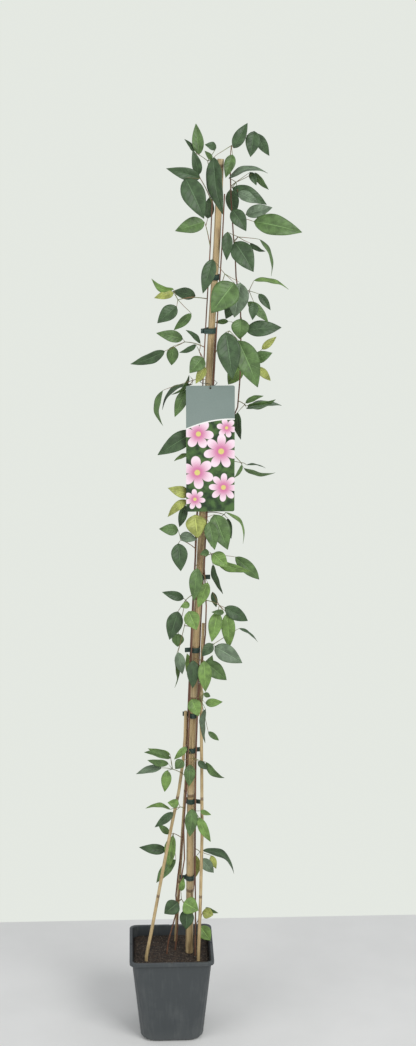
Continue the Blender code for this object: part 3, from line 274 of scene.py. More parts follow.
        (5.9, 66.9, 7.4, 71.2, 2.2, 2.8, 3.8),
        (4.2, 67.2, 3.0, 71.6, 2.0, 2.8, 3.4)]),
    "leaf_33": ("stem_a", 49.0, (0.4, -1.3, 50.2), [
        (0.0, 53.0, -3.9, 54.1, 1.3, -0.6, 0.2),
        (0.1, 52.3, -4.5, 53.5, 1.3, -1.4, -2.0),
        (-0.3, 51.2, -4.0, 52.0, 1.3, -1.8, -2.6),
        (-1.5, 50.5, -6.0, 49.4, 1.3, -1.3, -1.5),
        (-0.5, 50.0, -1.0, 45.9, 1.8, -1.5, -2.1)]),
    "leaf_34": ("stem_d", 51.5, (4.2, -2.0, 52.2), [
        (2.9, 54.3, 0.7, 52.0, 1.2, -2.2, -2.8),
        (2.2, 51.9, 0.9, 50.2, 1.8, -2.6, -3.2),
        (4.9, 51.6, 6.6, 50.0, 1.2, -2.2, -2.6),
        (6.3, 51.4, 9.5, 48.2, 1.2, -2.2, -2.0, 0.14),
        (3.5, 51.0, 3.3, 46.9, 2.0, -2.4, -3.2)]),
    "leaf_35": ("stem_a", 42.8, (1.7, -2.1, 43.0), [
        (1.5, 43.6, -0.5, 43.9, 1.6, -2.3, -2.9),
        (0.0, 42.6, -4.4, 42.8, 0.7, -2.2, -2.6, 0.16),
        (0.5, 42.0, -2.8, 39.2, 1.5, -2.4, -3.2)]),
    "leaf_36": ("stem_a", 37.0, (0.5, 0.2, 38.0), [
        (-0.2, 37.9, -2.2, 39.8, 1.2, 0.3, 0.9),
        (0.5, 37.5, -0.3, 31.3, 2.0, -0.2, 0.2),
        (-0.8, 34.8, -5.6, 35.4, 1.9, 0.5, 0.3),
        (0.9, 32.9, -2.6, 28.5, 1.8, 0.6, 1.2)]),
    "leaf_37": ("stem_d", 40.5, (4.4, -2.4, 42.2), [
        (3.9, 42.6, 3.4, 37.3, 2.3, -2.6, -3.4),
        (5.0, 41.0, 7.1, 36.2, 1.7, -3.2, -4.0),
        (5.3, 42.2, 7.2, 41.4, 0.9, -3.0, -3.6)]),
    "leaf_38": ("stem_c", 34.5, (5.2, 0.6, 34.4), [
        (5.6, 34.6, 11.5, 30.2, 1.1, 0.6, 0.4, 0.2),
        (7.2, 33.6, 8.1, 31.0, 1.2, -0.4, -0.8),
        (5.5, 33.0, 7.7, 30.2, 2.0, -0.6, -1.0),
        (4.6, 33.6, 3.6, 28.6, 2.2, 2.2, 3.2)]),
    "leaf_39": ("stem_a", 25.0, (1.9, -1.4, 25.2), [
        (1.8, 26.8, 2.3, 29.5, 1.1, -1.6, -2.0),
        (2.3, 24.6, 4.9, 22.9, 3.2, -2.1, -3.1),
        (1.3, 24.6, -1.2, 22.4, 2.8, -1.8, -2.4),
        (2.9, 23.2, 2.7, 19.2, 2.6, -1.9, -2.7)]),
    "leaf_40": ("stem_d", 20.5, (5.5, -1.0, 22.0), [
        (5.7, 22.7, 7.6, 22.0, 2.0, -1.0, -0.8),
        (6.3, 23.5, 8.5, 22.3, 0.8, 0.0, 0.4),
        (5.2, 19.8, 7.1, 17.0, 2.5, -1.5, -2.1)]),
}



def placed(x: float, y: float, z: float) -> Vector:
    """World point of an elevation place moved to depth y along the line of sight.

    Args:
        x: place to the right, in centimetres.
        y: depth, in centimetres.
        z: height, in centimetres.

    Returns:
        The point in metres.
    """
    flat = Vector((x * CM, 0.0, z * CM))
    return EYE + (flat - EYE) * ((y * CM - EYE.y) / -EYE.y)


def smooth_route(points: list[Vector], step: float = STEM_STEP) -> list[Vector]:
    """Points of a smooth curve through given world points.

    Args:
        points: the points that it passes through.
        step: spacing in centimetres.

    Returns:
        The curve's points.
    """
    ends = [2 * points[0] - points[1]] + points + [2 * points[-1] - points[-2]]
    route = []
    for before, start, end, after in zip(ends, ends[1:], ends[2:], ends[3:]):
        pieces = max(1, round((end - start).length / (step * CM)))
        for index in range(pieces):
            t = index / pieces
            route.append(0.5 * (2 * start + (end - before) * t
                                + (2 * before - 5 * start + 4 * end - after) * t ** 2
                                + (3 * start - before - 3 * end + after) * t ** 3))
    route.append(points[-1].copy())
    return route


def at_height(route: list[Vector], height: float) -> Vector:
    """Point of a rising route at a height.

    Args:
        route: the route's points.
        height: the height in metres.

    Returns:
        The point.
    """
    for low, high in zip(route, route[1:]):
        if low.z <= height <= high.z:
            return low.lerp(high, (height - low.z) / (high.z - low.z))
    return route[-1].copy() if height > route[-1].z else route[0].copy()


def cane_route(name: str) -> list[Vector]:
    """World points of a cane's axis, starting at its buried foot.

    Args:
        name: the cane's name.

    Returns:
        The axis points.
    """
    points = [placed(*place) for place in CANES[name]["route"]]
    foot = CANE_FOOT
    low, high = points[0], points[1]
    points[0] = low.lerp(high, (foot - low.z) / (high.z - low.z))
    return points


def stem_route(name: str, main_route: list[Vector]) -> list[Vector]:
    """World points of a stem's axis: its free part, its climb beside the main cane, and its tail.

    Args:
        name: the stem's name.
        main_route: the main cane's axis.

    Returns:
        The axis points.
    """
    plan = STEMS[name]
    start, stop, steps = plan["follow"]
    points = [placed(*place) for place in plan["free"]]
    for index in range(steps + 1):
        share = index / steps
        height = (start + (stop - start) * share) * CM
        bearing = math.radians(plan["bearings"][0] * (1 - share) + plan["bearings"][1] * share)
        reach = plan["reach"] * CM
        points.append(at_height(main_route, height)
                      + Vector((math.cos(bearing) * reach, math.sin(bearing) * reach, 0.0)))
    points += [placed(*place) for place in plan["tail"]]
    return smooth_route(points)


def blade_width(t: float) -> float:
    """Half width of a blade along its midrib, as a share of its widest.

    Args:
        t: share of the midrib, from the base.

    Returns:
        The share, 0 at both ends.
    """
    return math.sin(math.pi * t ** 0.72) ** 0.9 if 0 < t < 1 else 0.0


def blade_frame(plan: tuple, number: int) -> tuple:
    """Work out a blade's place and size from its plan.

    Args:
        plan: the blade's row of the leaf plan.
        number: its place in the leaf.

    Returns:
        Base, direction, face normal, side, length, width and arch.
    """
    base = placed(plan[0], plan[5], plan[1])
    tip = placed(plan[2], plan[6], plan[3])
    along = tip - base
    length = along.length
    along.normalize()
    seen = plan[4] * CM
    width = max(seen, SLENDER * length)
    facing = Vector((0.0, -1.0, 0.35))
    normal = (facing - along * facing.dot(along)).normalized()
    roll = math.acos(seen / width) * (1 if number % 2 else -1)
    normal = Matrix.Rotation(roll, 3, along) @ normal
    arch = plan[7] if len(plan) > 7 else ARCH
    return base, along, normal, along.cross(normal), length, width, arch


def blade_samples(plan: tuple, number: int, parting: Vector) -> np.ndarray:
    """World points spread over a blade and along its stalk.

    Args:
        plan: the blade's row.
        number: its place in the leaf.
        parting: the point where the leaf's stalks part.

    Returns:
        The points, one row each.
    """
    base, along, normal, side, length, width, arch = blade_frame(plan, number)
    points = [parting.lerp(base, step / 8) for step in range(2, 9)]
    rows = max(5, round(length / CLEARANCE))
    for row in range(rows + 1):
        t = row / rows
        middle = base + along * (length * t) + normal * (arch * length * math.sin(math.pi * t))
        for column in range(-4, 5):
            across = column / 8 * blade_width(t) * width
            points.append(middle + side * across + normal * (FOLD * abs(across)))
    return np.array(points)


def obstacle_samples(routes: dict, radii: dict) -> tuple:
    """Points of the canes, stems, label and rim, with the distance that leaves keep from each.

    Args:
        routes: axis points by name.
        radii: radius by name.

    Returns:
        The points and the distances.
    """
    points, reaches = [], []
    heights = [plan[0] * CM for plan in TIES]
    for name, route in routes.items():
        for low, high in zip(route, route[1:]):
            pieces = max(1, round((high - low).length / CLEARANCE))
            for step in range(pieces):
                point = low.lerp(high, step / pieces)
                near_tie = min(abs(point.z - height) for height in heights) < TIE_HEIGHT
                points.append(point)
                reaches.append(radii[name] + (TIE_ROOM if near_tie and name == "cane_main" else LEAF_ROOM))
    centre = placed(*LABEL_CENTRE)
    for column in range(-12, 13):
        for row in range(-32, 36):
            points.append(centre + Vector((column * LABEL_WIDTH / 24, 0.0, row * LABEL_HEIGHT / 64)))
            reaches.append(CLEARANCE)
    for step in range(48):
        turn = Matrix.Rotation(step * math.pi / 24, 3, "Z")
        for z in (POT_HEIGHT, POT_HEIGHT - 0.006):
            rim = turn @ Vector((1.0, 0.0, 0.0))
            scale = POT_RIM_HALF / max(abs(rim.x), abs(rim.y))
            points.append(Vector((rim.x * scale, rim.y * scale, z)))
            reaches.append(0.006)
    return np.array(points), np.array(reaches)


def is_clear(samples: np.ndarray, points: np.ndarray, reaches: np.ndarray) -> bool:
    """Whether no sample lies within its reach of any obstacle point.

    Args:
        samples: the points tested.
        points: the obstacle points.
        reaches: the distance kept from each.

    Returns:
        True where all are clear.
    """
    low, high = samples.min(axis=0) - 0.02, samples.max(axis=0) + 0.02
    near = np.all((points > low) & (points < high), axis=1)
    if not near.any():
        return True
    gaps = np.linalg.norm(samples[:, None, :] - points[None, near, :], axis=2)
    return bool((gaps > reaches[None, near]).all())


def settle_leaves(routes: dict, radii: dict) -> dict:
    """Find for each leaf its petiole and the depth at which each blade is clear of the rest.

    Args:
        routes: axis points by name.
        radii: radius by name.

    Returns:
        By leaf: the petiole's root, the parting point, and the blades with their numbers.
    """
    points, reaches = obstacle_samples(routes, radii)
    settled = {}
    for name, (stem, height, fork, blades) in LEAVES.items():
        root = at_height(routes[stem], height * CM)
        parting = placed(*fork)
        run = [parting.lerp(root, step / 24) for step in range(25)]
        free = 0
        while free < 24 and is_clear(np.array([run[free + 1]]), points, reaches):
            free += 1
        own = [np.array(run[:free + 1])]
        chosen = []
        for number, plan in enumerate(blades):
            for shift in DEPTH_SHIFTS:
                moved = (*plan[:5], plan[5] + shift, plan[6] + shift, *plan[7:])
                samples = blade_samples(moved, number, parting)
                if is_clear(samples, points, reaches):
                    chosen.append((moved, number))
                    own.append(samples)
                    break
        settled[name] = (root, parting, chosen)
        taken = np.concatenate(own)
        points = np.concatenate([points, taken])
        reaches = np.concatenate([reaches, np.full(len(taken), CLEARANCE)])
    return settled


class Tone(Enum):
    """Named leaf tones: partly the leaves' own spread of tone; DEEP also stands in for painted shade on the
    upper leaves and BRIGHT for painted light on the lower ones.
    """

    DEEP = (0.055, 0.105, 0.040)
    MID = (0.105, 0.190, 0.055)
    BRIGHT = (0.175, 0.300, 0.070)
    YOUNG = (0.360, 0.400, 0.095)
    GREY = (0.150, 0.215, 0.130)


class Value:
    """A shader number: operators on it add Math nodes."""

    def __init__(self, graph: Graph, socket: bpy.types.NodeSocket) -> None:
        """Wrap an output socket of a graph."""
        self.graph = graph
        self.socket = socket

    def _math(self, operation: str, *terms: object) -> Value:
        """Return the result of a Math node.

        Args:
            operation: the node's operation.
            terms: its inputs, numbers or values.

        Returns:
            The wrapped output.
        """
        node = self.graph.node("ShaderNodeMath", {"operation": operation}, dict(enumerate(terms)))
        return Value(self.graph, node.outputs[0])

    def __add__(self, other: object) -> Value:
        """Sum."""
        return self._math("ADD", self, other)

    def __radd__(self, other: object) -> Value:
        """Reflected sum."""
        return self._math("ADD", other, self)

    def __sub__(self, other: object) -> Value:
        """Difference."""
        return self._math("SUBTRACT", self, other)

    def __rsub__(self, other: object) -> Value:
        """Reflected difference."""
        return self._math("SUBTRACT", other, self)

    def __mul__(self, other: object) -> Value:
        """Product."""
        return self._math("MULTIPLY", self, other)

    def __rmul__(self, other: object) -> Value:
        """Reflected product."""
        return self._math("MULTIPLY", other, self)

    def __truediv__(self, other: object) -> Value:
        """Quotient."""
        return self._math("DIVIDE", self, other)

    def __abs__(self) -> Value:
        """Size without sign."""
        return self._math("ABSOLUTE", self)

    def call(self, operation: str, *terms: object) -> Value:
        """Another Math operation with this value first."""
        return self._math(operation, self, *terms)

    def band(self, low: float, high: float) -> Value:
        """Smooth step from 0 at `low` to 1 at `high`."""
        node = self.graph.node("ShaderNodeMapRange", {"interpolation_type": "SMOOTHSTEP"},
                               {"Value": self, "From Min": low, "From Max": high})
        return Value(self.graph, node.outputs["Result"])


class Graph:
    """A material and its nodes."""

    def __init__(self, name: str) -> None:
        """Start a material with its Principled shader."""
        self.material = bpy.data.materials.new(name)
        self.material.use_nodes = True
        self.tree = self.material.node_tree
        self.shader = self.tree.nodes["Principled BSDF"]

    def put(self, socket: bpy.types.NodeSocket, value: object) -> None:
        """Set or link one input socket."""
        if isinstance(value, Value):
            value = value.socket
        if isinstance(value, bpy.types.NodeSocket):
            self.tree.links.new(value, socket)
        elif isinstance(value, tuple) and socket.type == "RGBA":
            socket.default_value = (*value[:3], 1.0)
        else:
            socket.default_value = value

    def node(self, kind: str, settings: dict, inputs: dict) -> bpy.types.Node:
        """Add a node.

        Args:
            kind: the node's type.
            settings: attributes set first.
            inputs: sockets by name or number, with values or links.

        Returns:
            The node.
        """
        made = self.tree.nodes.new(kind)
        for key, value in settings.items():
            setattr(made, key, value)
        for key, value in inputs.items():
            self.put(made.inputs[key], value)
        return made

    def mix(self, share: object, first: object, second: object) -> bpy.types.NodeSocket:
        """Blend two colours by a share."""
        made = self.node("ShaderNodeMix", {"data_type": "RGBA"}, {0: share, 6: first, 7: second})
        return made.outputs[2]

    def place(self) -> bpy.types.NodeSocket:
        """Object coordinates, in metres."""
        return self.node("ShaderNodeTexCoord", {}, {}).outputs["Object"]

    def axes(self, vector: bpy.types.NodeSocket) -> tuple[Value, Value, Value]:
        """Split a vector into its three values."""
        made = self.node("ShaderNodeSeparateXYZ", {}, {0: vector})
        return tuple(Value(self, output) for output in made.outputs)

    def uv(self) -> tuple[Value, Value]:
        """Across and along values of the piece's own map."""
        made = self.node("ShaderNodeUVMap", {"uv_map": "blade"}, {})
        across, along, _ = self.axes(made.outputs[0])
        return across, along

    def noise(self, scale: float, detail: float = 3.0, vector: object = None) -> Value:
        """Noise value at a scale, in repeats per metre."""
        made = self.node("ShaderNodeTexNoise", {},
                         {"Vector": vector or self.place(), "Scale": scale, "Detail": detail})
        return Value(self, made.outputs[0])

    def stretched(self, scale: tuple[float, float, float]) -> bpy.types.NodeSocket:
        """Object coordinates scaled unequally."""
        made = self.node("ShaderNodeMapping", {}, {"Vector": self.place(), "Scale": scale})
        return made.outputs[0]

    def bump(self, height: object, distance: float, strength: float = 1.0) -> None:
        """Feed the shader's normal from a height."""
        made = self.node("ShaderNodeBump", {}, {"Height": height, "Strength": strength, "Distance": distance})
        self.put(self.shader.inputs["Normal"], made.outputs[0])

    def finish(self, colour: object, roughness: object, **fixed: float) -> bpy.types.Material:
        """Set the colour, the roughness and constant sockets, and return the material."""
        self.put(self.shader.inputs["Base Color"], colour)
        self.put(self.shader.inputs["Roughness"], roughness)
        for key, value in fixed.items():
            self.shader.inputs[key.replace("_", " ")].default_value = value
        return self.material


@dataclass(frozen=True)
class LeafFinish:
    """Veined leaf blade in one tone."""

    tone: Tone

    def material(self) -> bpy.types.Material:
        """Build the finish."""
        graph = Graph(f"leaf_{self.tone.name.lower()}")
        across, along = graph.uv()
        side = abs(across)
        midrib = 1 - side.band(0.012, 0.045)
        ladder = (along * 7.0 - side * 2.6).call("FRACT")
        vein = (1 - abs(ladder - 0.5).band(0.02, 0.09)) * side.band(0.0, 0.05) * (1 - side.band(0.42, 0.5))
        mottle = graph.noise(90.0, 4.0)
        base = self.tone.value
        dark = tuple(part * 0.62 for part in base)
        pale = tuple(min(1.0, part * 1.7 + 0.03) for part in base)
        body = graph.mix(mottle.band(0.3, 0.7), dark, tuple(part * 1.15 for part in base))
        edge = graph.mix(side.band(0.40, 0.5) * 0.5, body, tuple(part * 0.75 for part in base))
        veined = graph.mix(midrib * 0.75 + vein * 0.28, edge, pale)
        under = graph.mix(midrib * 0.5 + vein * 0.2, tuple(part * 0.8 + 0.07 for part in base), pale)
        back = graph.node("ShaderNodeAttribute", {"attribute_name": "underside"}, {}).outputs["Fac"]
        graph.bump(midrib * -1.0 + vein * -0.6 + mottle * 0.25, 0.0007)
        return graph.finish(graph.mix(back, veined, under), 0.42 + mottle * 0.16)


@dataclass(frozen=True)
class PlasticFinish:
    """Dark slate nursery-pot plastic with fine texture and dust."""

    def material(self) -> bpy.types.Material:
        """Build the finish."""
        graph = Graph("pot_plastic")
        grain = graph.noise(1400.0, 2.0)
        cloud = graph.noise(26.0, 4.0)
        streak = graph.noise(1.0, 3.0, graph.stretched((220.0, 220.0, 12.0)))
        _, _, height = graph.axes(graph.place())
        dust = (cloud * 0.6 + streak * 0.4).band(0.45, 0.72) * 0.35 + (1 - height.band(0.0, 0.035)) * 0.25
        colour = graph.mix(dust, (0.050, 0.058, 0.062), (0.125, 0.135, 0.132))
        graph.bump(grain * 0.3 + streak * 0.2, 0.0003)
        return graph.finish(colour, 0.36 + cloud * 0.18)


@dataclass(frozen=True)
class SoilFinish:
    """Crumbly peat with pale specks."""

    def material(self) -> bpy.types.Material:
        """Build the finish."""
        graph = Graph("soil")
        crumb = graph.noise(260.0, 6.0)
        lump = graph.noise(70.0, 4.0)
        speck = graph.noise(620.0, 1.0).band(0.68, 0.74)
        colour = graph.mix(crumb.band(0.3, 0.7), (0.012, 0.008, 0.006), (0.060, 0.040, 0.026))
        graph.bump(crumb * 0.7 + lump, 0.004)
        return graph.finish(graph.mix(speck, colour, (0.42, 0.38, 0.30)), 0.95)


@dataclass(frozen=True)
class BambooFinish:
    """Yellow-brown cane with node rings, long fibres and brown flecks."""

    rings: float = 5.5

    def material(self) -> bpy.types.Material:
        """Build the finish."""
        graph = Graph("bamboo")
        _, _, height = graph.axes(graph.place())
        fibre = graph.noise(1.0, 4.0, graph.stretched((900.0, 900.0, 14.0)))
        blotch = graph.noise(1.0, 3.0, graph.stretched((120.0, 120.0, 22.0)))
        place = (height * self.rings + blotch * 0.02).call("FRACT")
        ring = 1 - abs(place - 0.5).band(0.006, 0.022)
        shade = 1 - abs(place - 0.53).band(0.01, 0.09)
        colour = graph.mix(fibre.band(0.3, 0.7), (0.36, 0.25, 0.115), (0.60, 0.46, 0.24))
        colour = graph.mix(blotch.band(0.56, 0.70) * 0.7, colour, (0.16, 0.095, 0.045))
        colour = graph.mix(shade * 0.30, colour, (0.70, 0.60, 0.38))
        graph.bump(ring * 1.5 + fibre * 0.25, 0.0008)
        return graph.finish(graph.mix(ring * 0.8, colour, (0.15, 0.085, 0.04)), 0.42 + fibre * 0.15)


@dataclass(frozen=True)
class StemFinish:
    """Reddish-brown ribbed bark."""

    def material(self) -> bpy.types.Material:
        """Build the finish."""
        graph = Graph("stem_bark")
        rib = graph.noise(1.0, 4.0, graph.stretched((1500.0, 1500.0, 30.0)))
        colour = graph.mix(rib.band(0.3, 0.7), (0.085, 0.035, 0.022), (0.27, 0.13, 0.07))
        graph.bump(rib, 0.0005)
        return graph.finish(colour, 0.6)


@dataclass(frozen=True)
class StalkFinish:
    """Green-brown petioles."""

    def material(self) -> bpy.types.Material:
        """Build the finish."""
        graph = Graph("stalk")
        cloud = graph.noise(60.0, 3.0)
        colour = graph.mix(cloud.band(0.35, 0.65), (0.17, 0.20, 0.06), (0.22, 0.11, 0.055))
        return graph.finish(colour, 0.5)


@dataclass(frozen=True)
class TapeFinish:
    """Dark green garden tape."""

    def material(self) -> bpy.types.Material:
        """Build the finish."""
        graph = Graph("tape")
        crease = graph.noise(1.0, 3.0, graph.stretched((60.0, 60.0, 900.0)))
        graph.bump(crease, 0.0005)
        colour = graph.mix(crease.band(0.3, 0.7), (0.010, 0.028, 0.020), (0.035, 0.075, 0.055))
        return graph.finish(colour, 0.38)


@dataclass(frozen=True)
class LabelFinish:
    """Grey-green header over a white line and a print of generic pale blossoms on dark green."""

    def blossom(self, graph: Graph, x: Value, z: Value, centre: tuple[float, float],
                size: float, petals: int, turn: float) -> tuple[Value, Value]:
        """One flower: a petal mask and its distance share from the middle.

        Args:
            graph: the material.
            x: across the card in metres.
            z: up the card in metres.
            centre: the flower's middle.
            size: its radius.
            petals: how many petals.
            turn: its rotation in radians.

        Returns:
            The mask and the distance share.
        """
        dx, dz = x - centre[0], z - centre[1]
        far = (dx * dx + dz * dz).call("SQRT") / size
        angle = dz.call("ARCTAN2", dx) * (petals / 2) + turn
        rim = abs(angle.call("COSINE")).call("POWER", 0.55) * 0.62 + 0.38
        return (rim - far).band(0.0, 0.04), far

    def material(self) -> bpy.types.Material:
        """Build the finish."""
        graph = Graph("label_card")
        x, _, z = graph.axes(graph.place())
        middle = placed(*LABEL_CENTRE)
        x, z = x - middle.x, z - middle.z
        foliage = graph.noise(75.0, 4.0).band(0.35, 0.65)
        picture = graph.mix(foliage, (0.016, 0.040, 0.014), (0.075, 0.150, 0.040))
        flowers = (((-0.020, 0.026), 0.026, 6, 0.3), ((0.018, -0.004), 0.030, 7, 0.9),
                   ((-0.022, -0.040), 0.029, 6, 1.2), ((0.022, -0.066), 0.025, 8, 0.2),
                   ((0.027, 0.036), 0.017, 6, 0.7), ((-0.026, -0.086), 0.018, 7, 0.5))
        for centre, size, petals, turn in flowers:
            mask, far = self.blossom(graph, x, z, centre, size, petals, turn)
            petal = graph.mix(far.band(0.1, 0.9), (0.62, 0.16, 0.34), (0.92, 0.74, 0.82))
            picture = graph.mix(mask, picture, petal)
            picture = graph.mix(1 - far.band(0.13, 0.20), picture, (0.72, 0.62, 0.20))
        line = 0.0475 + x * 0.20 - x * x * 3.0
        header = graph.mix(graph.noise(8.0).band(0.3, 0.7), (0.175, 0.230, 0.205), (0.215, 0.270, 0.245))
        shown = graph.mix((z - line).band(-0.0004, 0.0004), picture, header)
        stripe = 1 - abs(z - line).band(0.0008, 0.0014)
        return graph.finish(graph.mix(stripe, shown, (0.85, 0.85, 0.82)), 0.33)


@dataclass
class Shell:
    """Vertices and faces being gathered for one mesh."""

    points: list = field(default_factory=list)
    faces: list = field(default_factory=list)
    slots: list = field(default_factory=list)
    marks: list = field(default_factory=list)
    under: list = field(default_factory=list)

    def grid(self, rows: list[list[Vector]], marks: list, slot: int, under: float, flip: bool) -> None:
        """Add a grid of points as quads."""
        start = len(self.points)
        wide = len(rows[0])
        for row, mark_row in zip(rows, marks):
            self.points += row
            self.marks += mark_row
            self.under += [under] * wide
        for r in range(len(rows) - 1):
            for c in range(wide - 1):
                low = start + r * wide + c
                quad = (low, low + 1, low + 1 + wide, low + wide)
                self.faces.append(tuple(reversed(quad)) if flip else quad)
                self.slots.append(slot)

    def tube(self, path: list[Vector], radii: tuple[float, float], slot: int, sides: int = 8) -> None:
        """Add a round tube along a path, closed at both ends."""
        start = len(self.points)
        last = len(path) - 1
        for index, point in enumerate(path):
            along = (path[min(index + 1, last)] - path[max(index - 1, 0)]).normalized()
            first = along.orthogonal().normalized()
            second = along.cross(first)
            radius = radii[0] + (radii[1] - radii[0]) * index / last
            for step in range(sides):
                angle = 2 * math.pi * step / sides
                self.points.append(point + (first * math.cos(angle) + second * math.sin(angle)) * radius)
                self.marks.append((0.2, index / last))
                self.under.append(0.0)
        for index in range(last):
            for step in range(sides):
                low = start + index * sides
                after = (step + 1) % sides
                self.faces.append((low + step, low + after, low + sides + after, low + sides + step))
                self.slots.append(slot)
        for base, order in ((start, -1), (start + last * sides, 1)):
            self.faces.append(tuple(range(base, base + sides))[::order])
            self.slots.append(slot)

    def build(self, name: str, materials: list[bpy.types.Material]) -> bpy.types.Object:
        """Make the object with its blade map and underside mark."""
        mesh = bpy.data.meshes.new(name)
        mesh.from_pydata(self.points, [], self.faces)
        layer = mesh.uv_layers.new(name="blade")
        for loop in mesh.loops:
            layer.data[loop.index].uv = self.marks[loop.vertex_index]
        mark = mesh.attributes.new("underside", "FLOAT", "POINT")
        mark.data.foreach_set("value", self.under)
        for material in materials:
            mesh.materials.append(material)
        mesh.polygons.foreach_set("material_index", self.slots)
        mesh.shade_smooth()
        obj = bpy.data.objects.new(name, mesh)
        bpy.context.scene.collection.objects.link(obj)
        return obj


@dataclass
class Foliage:
    """Fine compound leaves in the places of the plain ones."""

    rows: int = 16
    columns: int = 10
    thickness: float = 0.00035
    seed: int = 11

    def tone(self, height: float, chance: random.Random) -> int:
        """Pick a tone index at random, weighted deeper towards the top as painted shade and brighter near the
        foot as painted light.
        """
        high = min(1.0, max(0.0, (height - 0.2) / 1.3))
        # Painted shade and light: the DEEP weight rises and the BRIGHT weight falls with the leaf's height.
        weights = (0.25 + 0.5 * high, 0.35, 0.42 - 0.32 * high, 0.07, 0.10)
        return chance.choices(range(5), weights)[0]

    def blade(self, shell: Shell, plan: tuple, number: int, slot: int, chance: random.Random) -> None:
        """Add one blade as a thin closed shell.

        Args:
            shell: the leaf's mesh being gathered.
            plan: the blade's row of the leaf plan.
            number: its place in the leaf.
            slot: its tone's material index.
            chance: the seeded source of its ripple and curl.
        """
        base, along, normal, side, length, width, arch = blade_frame(plan, number)
        wave = chance.uniform(0, 6.28)
        curl = chance.uniform(-0.05, 0.10)
        rows, marks = [], []
        for r in range(self.rows + 1):
            t = r / self.rows
            row, mark_row = [], []
            for c in range(self.columns + 1):
                u = c / self.columns - 0.5
                half = max(blade_width(t), 0.02) * width
                across = u * half
                ripple = 0.035 * width * math.sin(t * 13 + wave + u * 5) * abs(u) * 2 * blade_width(t)
                rise = arch * length * math.sin(math.pi * t) + ripple
                rise += FOLD * abs(across) * (1 - abs(u)) * 1.5
                rise -= curl * length * max(0.0, t - 0.6) ** 2 * 4
                row.append(base + along * (length * t) + side * across + normal * rise)
                mark_row.append((u, t))
            rows.append(row)
            marks.append(mark_row)
        lower = [[point - normal * self.thickness for point in row] for row in rows]
        shell.grid(rows, marks, slot, 0.0, False)
        shell.grid(lower, marks, slot, 1.0, True)
        wide = self.columns + 1
        start = len(shell.points) - 2 * wide * (self.rows + 1)
        under = start + wide * (self.rows + 1)
        ring = list(range(wide)) + [r * wide + wide - 1 for r in range(1, self.rows + 1)]
        ring += [self.rows * wide + c for c in range(wide - 2, -1, -1)]
        ring += [r * wide for r in range(self.rows - 1, 0, -1)]
        for first, second in zip(ring, ring[1:] + ring[:1]):
            shell.faces.append((start + second, start + first, under + first, under + second))
            shell.slots.append(slot)

    def build(self, materials: list[bpy.types.Material]) -> None:
        """Build every leaf."""
        routes = {name: cane_route(name) for name in CANES}
        routes.update({name: stem_route(name, routes["cane_main"]) for name in STEMS})
        radii = {name: max(plan["radii"]) for name, plan in CANES.items()}
        radii.update({name: STEM_RADIUS for name in STEMS})
        chance = random.Random(self.seed)
        for name, (root, parting, blades) in settle_leaves(routes, radii).items():
            shell = Shell()
            sag = Vector((0.0, 0.0, 0.06 * (parting - root).length))
            path = [root.lerp(parting, t / 8) + sag * math.sin(math.pi * t / 8) for t in range(9)]
            shell.tube(path, (PETIOLE_RADIUS, STALK_RADIUS), 5)
            for plan, number in blades:
                base, along, normal, _, length, _, arch = blade_frame(plan, number)
                slot = self.tone(parting.z, chance)
                self.blade(shell, plan, number, slot, chance)
                tail = base + along * (0.12 * length) + normal * (arch * length * 0.37 - 0.0006)
                middle = parting.lerp(base, 0.5) + normal * 0.001
                stalk = smooth_route([parting, middle, base - normal * 0.0003, tail], 0.8)
                shell.tube(stalk, (STALK_RADIUS, STALK_RADIUS * 0.6), 5, 6)
            piece = shell.build(f"{name}_fine", materials)
            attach(piece, "root")
            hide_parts(name)
            LOG.info("%s: %d blades", name, len(blades))


@dataclass
class HardPieces:
    """Finishes on the pieces carried over from the model."""

    def dress(self) -> None:
        """Give every carried-over piece its finish."""
        finishes = {"pot": PlasticFinish(), "soil": SoilFinish(), "cane": BambooFinish(),
                    "stem": StemFinish(), "tie": TapeFinish(), "label": LabelFinish()}
        made = {key: finish.material() for key, finish in finishes.items()}
        for name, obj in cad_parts.items():
            key = "tie" if name == "label_tie" else name.split("_")[0]
            if key not in made:
                continue
            obj.data.materials.clear()
            obj.data.materials.append(made[key])
            LOG.info("%s: %s", name, made[key].name)


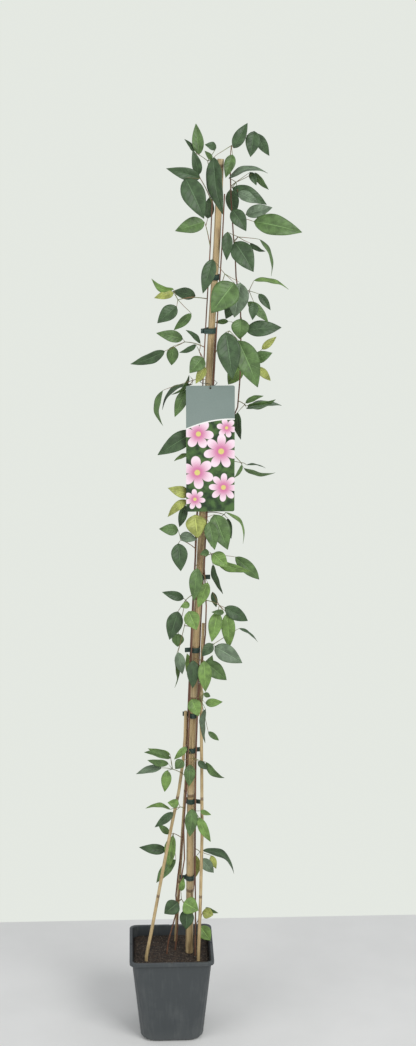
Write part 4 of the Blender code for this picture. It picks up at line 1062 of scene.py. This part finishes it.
@dataclass
class Stage:
    """Floor, lamps, world and camera; the world shows as the pale backdrop."""

    floor_end: float = 0.42
    half: float = 3.0
    lens: float = 62.98
    tilt: float = 75.3
    turn: float = -2.3

    def sheet(self, name: str, corners: list[tuple], colour: tuple) -> None:
        """Add one flat stage sheet."""
        mesh = bpy.data.meshes.new(name)
        mesh.from_pydata(corners, [], [(0, 1, 2, 3)])
        graph = Graph(name)
        cloth = graph.noise(9.0, 3.0)
        shade = graph.mix(cloth.band(0.3, 0.7), tuple(part * 0.97 for part in colour), colour)
        mesh.materials.append(graph.finish(shade, 0.9))
        obj = bpy.data.objects.new(name, mesh)
        bpy.context.scene.collection.objects.link(obj)

    def lamp(self, name: str, place: tuple, size: float, power: float) -> None:
        """Add a soft area lamp aimed at the plant's middle."""
        data = bpy.data.lights.new(name, "AREA")
        data.size = size
        data.energy = power
        obj = bpy.data.objects.new(name, data)
        obj.location = place
        obj.rotation_euler = (Vector((0, 0, 0.8)) - obj.location).to_track_quat("-Z", "Y").to_euler()
        bpy.context.scene.collection.objects.link(obj)

    def build(self) -> None:
        """Build the stage."""
        half, depth = self.half, self.floor_end
        self.sheet("floor", [(-half, -half, 0), (half, -half, 0), (half, depth, 0), (-half, depth, 0)],
                   (0.80, 0.80, 0.78))
        self.lamp("key", (1.6, -2.2, 2.6), 1.6, 55.0)
        self.lamp("fill", (-2.2, -1.8, 1.6), 2.0, 24.0)
        world = bpy.data.worlds.new("studio")
        world.use_nodes = True
        tree = world.node_tree
        light = tree.nodes["Background"]
        light.inputs["Color"].default_value = (0.95, 0.97, 1.0, 1.0)
        light.inputs["Strength"].default_value = 0.55
        shown = tree.nodes.new("ShaderNodeBackground")
        shown.inputs["Color"].default_value = (0.78, 0.81, 0.76, 1.0)
        blend = tree.nodes.new("ShaderNodeMixShader")
        rays = tree.nodes.new("ShaderNodeLightPath")
        tree.links.new(rays.outputs["Is Camera Ray"], blend.inputs[0])
        tree.links.new(light.outputs[0], blend.inputs[1])
        tree.links.new(shown.outputs[0], blend.inputs[2])
        tree.links.new(blend.outputs[0], tree.nodes["World Output"].inputs["Surface"])
        scene = bpy.context.scene
        scene.world = world
        scene.view_settings.view_transform = "Standard"
        data = bpy.data.cameras.new("camera")
        data.lens = self.lens
        camera = bpy.data.objects.new("camera", data)
        camera.location = EYE
        camera.rotation_euler = (math.radians(self.tilt), 0.0, math.radians(self.turn))
        scene.collection.objects.link(camera)
        scene.camera = camera


def main() -> None:
    """Build the stage, dress the hard pieces and grow the leaves."""
    logging.basicConfig(level=logging.INFO, format="%(message)s")
    Stage().build()
    HardPieces().dress()
    Foliage().build([LeafFinish(tone).material() for tone in Tone] + [StalkFinish().material()])


if __name__ == "__main__":
    main()
